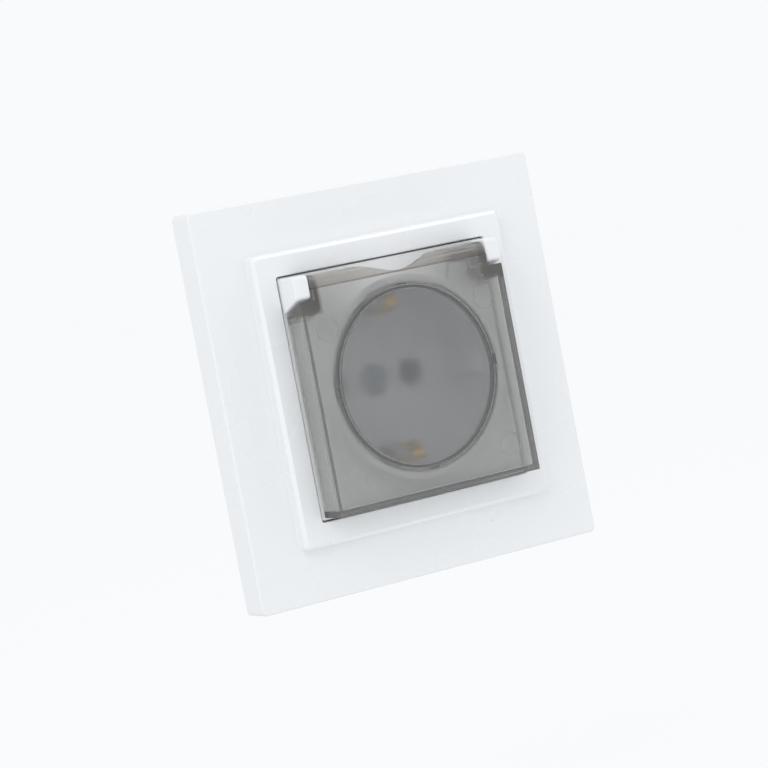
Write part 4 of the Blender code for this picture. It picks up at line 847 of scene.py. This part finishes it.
def buildBracket():
    b = bracket
    half, middle = b["strip"] / 2, b["top"] - b["strip"] / 2
    foldY = b["riser"] - b["fold"]
    foldZ = b["foldTop"] - half - b["fold"]
    path = arcPoints((b["riser"] - b["bend"], middle + b["bend"]), b["bend"], -math.pi / 2, 0.0, 8)
    path += arcPoints((foldY, foldZ), b["fold"], 0.0, math.pi, 14)
    tongue = foldY - b["fold"]
    for step in range(1, 17):  # the sprung tongue bulges to its contact and comes back
        share = step / 16
        path.append((tongue - (tongue - b["contact"]) * math.sin(math.pi * share * b["bulge"]),
                     foldZ - (foldZ - b["floor"]) * b["drop"] * share ** b["ease"]))
    path = [(-y, z) for y, z in reversed(path)] + path
    near, far = [], []
    for index, point in enumerate(path):
        before = Vector(path[max(index - 1, 0)])
        after = Vector(path[min(index + 1, len(path) - 1)])
        along = (after - before).normalized()
        side = Vector((-along.y, along.x)) * half
        near.append(tuple(Vector(point) + side))
        far.append(tuple(Vector(point) - side))
    strip = prism(near + far[::-1], -b["width"] / 2, b["width"] / 2, alongX)
    inner, outer, low, high = b["clipWidth"] / 2, b["width"], b["top"] + b["bend"], b["clipHigh"]
    for sign in (1, -1):
        start, end = span(sign, b["clipNear"], b["clipFar"])
        carve(strip, "DIFFERENCE", slab((inner, start, low), (outer, end, high), b["clipCorner"], 3),
              slab((-outer, start, low), (-inner, end, high), b["clipCorner"], 3))
    tidyMesh(strip)
    roundEdges(strip, b["edge"], 3, 60.0)
    bores = [(0, 0), (0, b["screwY"]), (0, -b["screwY"])]
    carve(strip, "DIFFERENCE", rods(bores, b["bore"], b["top"] - 1.4, b["top"] + 0.6, 40))
    return deliver(strip, "earthBracket", "bracketBrass", "socket", ["earth_bracket"], "bracket_brass")


buildBracket()

screw = {"headEdge": 0.4, "footEdge": 0.1, "neck": 1.32, "root": 1.28, "crest": 1.49, "pitch": 0.6,
         "plain": 1.2, "tip": 1.25, "end": 1.0, "taper": 0.45, "driveHalf": 0.45, "driveDepth": 1.0,
         "driveRim": 0.8, "driveEdge": 0.12}
centreScrew = {"seat": -5.2, "head": 6.2, "height": 1.4, "length": 11.6}
smallScrew = {"head": 5.4, "height": 2.2, "length": 7.2}
terminals = {"seat": -11.7, "places": ((-15.5, -8.0), (-15.5, 8.0), (15.5, -8.0), (15.5, 8.0))}
earths = {"seat": -7.7, "places": ((0.0, -11.0), (0.0, 11.0))}


def buildScrew(name, node, place, seat, head, height, length, material="screwZinc"):
    # round head with a crossed drive, and a turned thread on the shank
    s = screw
    x, y = place
    edge, half, pitch = s["headEdge"], head / 2, s["pitch"]
    profile = [(0.0, height)] + arcPoints((half - edge, height - edge), edge, math.pi / 2, 0.0, 5)
    profile += [(half, s["footEdge"]), (half - s["footEdge"], 0.0), (s["neck"], 0.0)]
    for turn in range(int((length - s["plain"]) / pitch)):
        low = -s["plain"] / 2 - turn * pitch
        profile += [(s["root"], low), (s["crest"], low - pitch * 0.4),
                    (s["crest"], low - pitch * 0.55), (s["root"], low - pitch * 0.95)]
    profile += [(s["tip"], -length + s["taper"]), (s["end"], -length), (0.0, -length)]
    body = lathe(profile, 40, Matrix.Translation((x, y, seat)))
    reach, wide = half - s["driveRim"], s["driveHalf"]
    floor, above = seat + height - s["driveDepth"], seat + height + 1.0
    carve(body, "DIFFERENCE",
          slab((x - reach, y - wide, floor), (x + reach, y + wide, above), s["driveEdge"], 2),
          slab((x - wide, y - reach, floor), (x + wide, y + reach, above), s["driveEdge"], 2))
    return deliver(body, name, material, "socket", [node], "screw_zinc")


buildScrew("centreScrew", "centre_screw", (0, 0), **centreScrew, material="seatZinc")
for name, node, row in (("terminalScrew", "terminal_screw", terminals),
                        ("earthScrew", "earth_screw", earths)):
    for index, place in enumerate(row["places"], 1):
        buildScrew("%s%d" % (name, index), "%s_%d" % (node, index), place, row["seat"], **smallScrew)
print("metal pieces made")


# Hidden pieces: a copy of the CAD solid with its edges rounded by the given width in metres

hidden = {
    "support_ring": ("supportRing", "ringZinc", "ring_zinc", 0.00015),
    "base_housing": ("baseHousing", "baseGrey", "base_grey", 0.00018),
    "base_cover": ("baseCover", "coverGrey", "cover_grey", 0.00018),
    "rivet_upper": ("rivetUpper", "rivetSteel", "rivet_steel", 0.00012),
    "rivet_lower": ("rivetLower", "rivetSteel", "rivet_steel", 0.00012),
    "screw_bush": ("screwBush", "bushBrass", "bush_brass", 0.00015),
    "contact_left": ("contactLeft", "contactBrass", "contact_brass", 0.0001),
    "contact_right": ("contactRight", "contactBrass", "contact_brass", 0.0001),
}
for index in range(1, 5):
    hidden["clamp_plate_%d" % index] = ("clampPlate%d" % index, "clampZinc", "clamp_zinc", 0.00015)
for index in range(1, 3):
    hidden["earth_clamp_%d" % index] = ("earthClamp%d" % index, "clampZinc", "clamp_zinc", 0.00015)


def refine(node, name, material, slotName, width):
    bm = bmesh.new()
    bm.from_mesh(nodes[node].data)
    bmesh.ops.remove_doubles(bm, verts=bm.verts, dist=0.0000005)
    bmesh.ops.dissolve_limit(bm, angle_limit=math.radians(0.4), use_dissolve_boundaries=False,
                             verts=bm.verts, edges=bm.edges)
    item = roundEdges(fresh(name, bm), width, 2, 35.0)
    dress(item, material, "socket", [node], slotName)
    return item


for node, values in hidden.items():
    refine(node, *values)
print("hidden pieces made")


# Camera

view = {"lens": 154.48, "sensor": 36.0, "near": 0.01, "far": 20.0,
        "place": (-0.34529075, -0.58790563, 0.03725118),
        "right": (0.84147765, -0.50707174, -0.18653049),
        "up": (0.18898718, -0.04719056, 0.98084499),
        "back": (-0.50616125, -0.86061101, 0.05612026)}


def buildCamera():
    data = bpy.data.cameras.new("camera")
    data.lens = view["lens"]
    data.sensor_width = view["sensor"]
    data.clip_start = view["near"]
    data.clip_end = view["far"]
    item = bpy.data.objects.new("camera", data)
    bpy.context.scene.collection.objects.link(item)
    turn = Matrix([Vector(view[name]) for name in ("right", "up", "back")]).transposed().to_4x4()
    item.matrix_world = Matrix.Translation(view["place"]) @ turn
    bpy.context.scene.camera = item


buildCamera()


# Floor, backdrop colour and light

studio = {"background": (0.947, 0.957, 0.974), "worldTone": (0.97, 0.985, 1.0), "world": 0.80,
          "floor": -0.10, "floorSize": 6.0, "floorPale": (0.93, 0.945, 0.955),
          "floorDeep": (0.91, 0.925, 0.935), "floorScale": 3.0,
          "floorGlow": (0.964, 0.974, 0.993), "glowShare": 0.9}
lights = {  # place and size in metres, power in watts
    "keyLight": {"place": (-0.82, -0.68, 0.80), "size": (0.7, 0.7), "power": 3.8,
                 "colour": (1.0, 0.99, 0.98)},
    "fillLight": {"place": (0.85, -0.65, 0.35), "size": (0.7, 0.9), "power": 1.0,
                  "colour": (0.97, 0.985, 1.0)},
    "topLight": {"place": (0.50, -0.08, 0.86), "size": (0.30, 0.25), "power": 0.7,
                 "colour": (1.0, 1.0, 1.0)},
    "sideLight": {"place": (-0.86, -0.50, -0.06), "size": (0.25, 0.30), "power": 0.25,
                  "colour": (1.0, 1.0, 1.0)},
}


def buildFloor():
    s = studio
    bm = bmesh.new()
    bmesh.ops.create_grid(bm, x_segments=2, y_segments=2, size=s["floorSize"],
                          matrix=Matrix.Translation((0, 0, s["floor"])))
    item = fresh("floor", bm)
    material, tree, shader = newTree("floorPale")
    where = add(tree, "ShaderNodeTexCoord", -900, 0)
    noise = add(tree, "ShaderNodeTexNoise", -700, 0, {"Scale": s["floorScale"]})
    link(tree, where.outputs["Object"], noise.inputs["Vector"])
    tone = blendColours(tree, noise.outputs["Fac"], s["floorPale"], s["floorDeep"], -400, 100)
    link(tree, tone, shader.inputs["Base Color"])
    shader.inputs["Roughness"].default_value = 0.9
    # the camera sees mostly an even glow, and other rays see the lit floor
    glow = add(tree, "ShaderNodeEmission", 0, 300, {"Color": (*s["floorGlow"], 1.0)})
    path = add(tree, "ShaderNodeLightPath", -300, 600)
    seen = maths(tree, "MULTIPLY", 0, 500, path.outputs["Is Camera Ray"], s["glowShare"])
    mix = add(tree, "ShaderNodeMixShader", 350, 100)
    link(tree, seen, mix.inputs["Fac"])
    link(tree, shader.outputs["BSDF"], mix.inputs[1])
    link(tree, glow.outputs["Emission"], mix.inputs[2])
    link(tree, mix.outputs["Shader"], tree.nodes["Material Output"].inputs["Surface"])
    item.data.materials.append(material)


def buildWorld():
    # seen, mirrored and looked through it is the backdrop, and otherwise it is soft light
    world = bpy.data.worlds.new("studio")
    bpy.context.scene.world = world
    world.use_nodes = True
    tree = world.node_tree
    plain = tree.nodes["Background"]
    plain.inputs["Color"].default_value = (*studio["background"], 1.0)
    plain.inputs["Strength"].default_value = 1.0
    lit = add(tree, "ShaderNodeBackground", 0, -200,
              {"Color": (*studio["worldTone"], 1.0), "Strength": studio["world"]})
    path = add(tree, "ShaderNodeLightPath", -600, 200)
    seen = path.outputs["Is Camera Ray"]
    for step, name in enumerate(("Is Transmission Ray", "Is Glossy Ray")):
        seen = maths(tree, "MAXIMUM", -300 + 200 * step, 200, seen, path.outputs[name])
    mix = add(tree, "ShaderNodeMixShader", 250, 0)
    link(tree, seen, mix.inputs["Fac"])
    link(tree, lit.outputs["Background"], mix.inputs[1])
    link(tree, plain.outputs["Background"], mix.inputs[2])
    link(tree, mix.outputs["Shader"], tree.nodes["World Output"].inputs["Surface"])


def areaLight(name, place, size, power, colour):
    # a rectangle turned to the part
    data = bpy.data.lights.new(name, "AREA")
    data.shape = "RECTANGLE"
    data.size, data.size_y = size
    data.energy = power
    data.color = colour
    item = bpy.data.objects.new(name, data)
    bpy.context.scene.collection.objects.link(item)
    item.location = place
    item.rotation_euler = (-Vector(place)).to_track_quat("-Z", "Y").to_euler()


buildFloor()
buildWorld()
for name, values in lights.items():
    areaLight(name, **values)
bpy.context.scene.view_settings.view_transform = "Standard"
print("camera and light set")
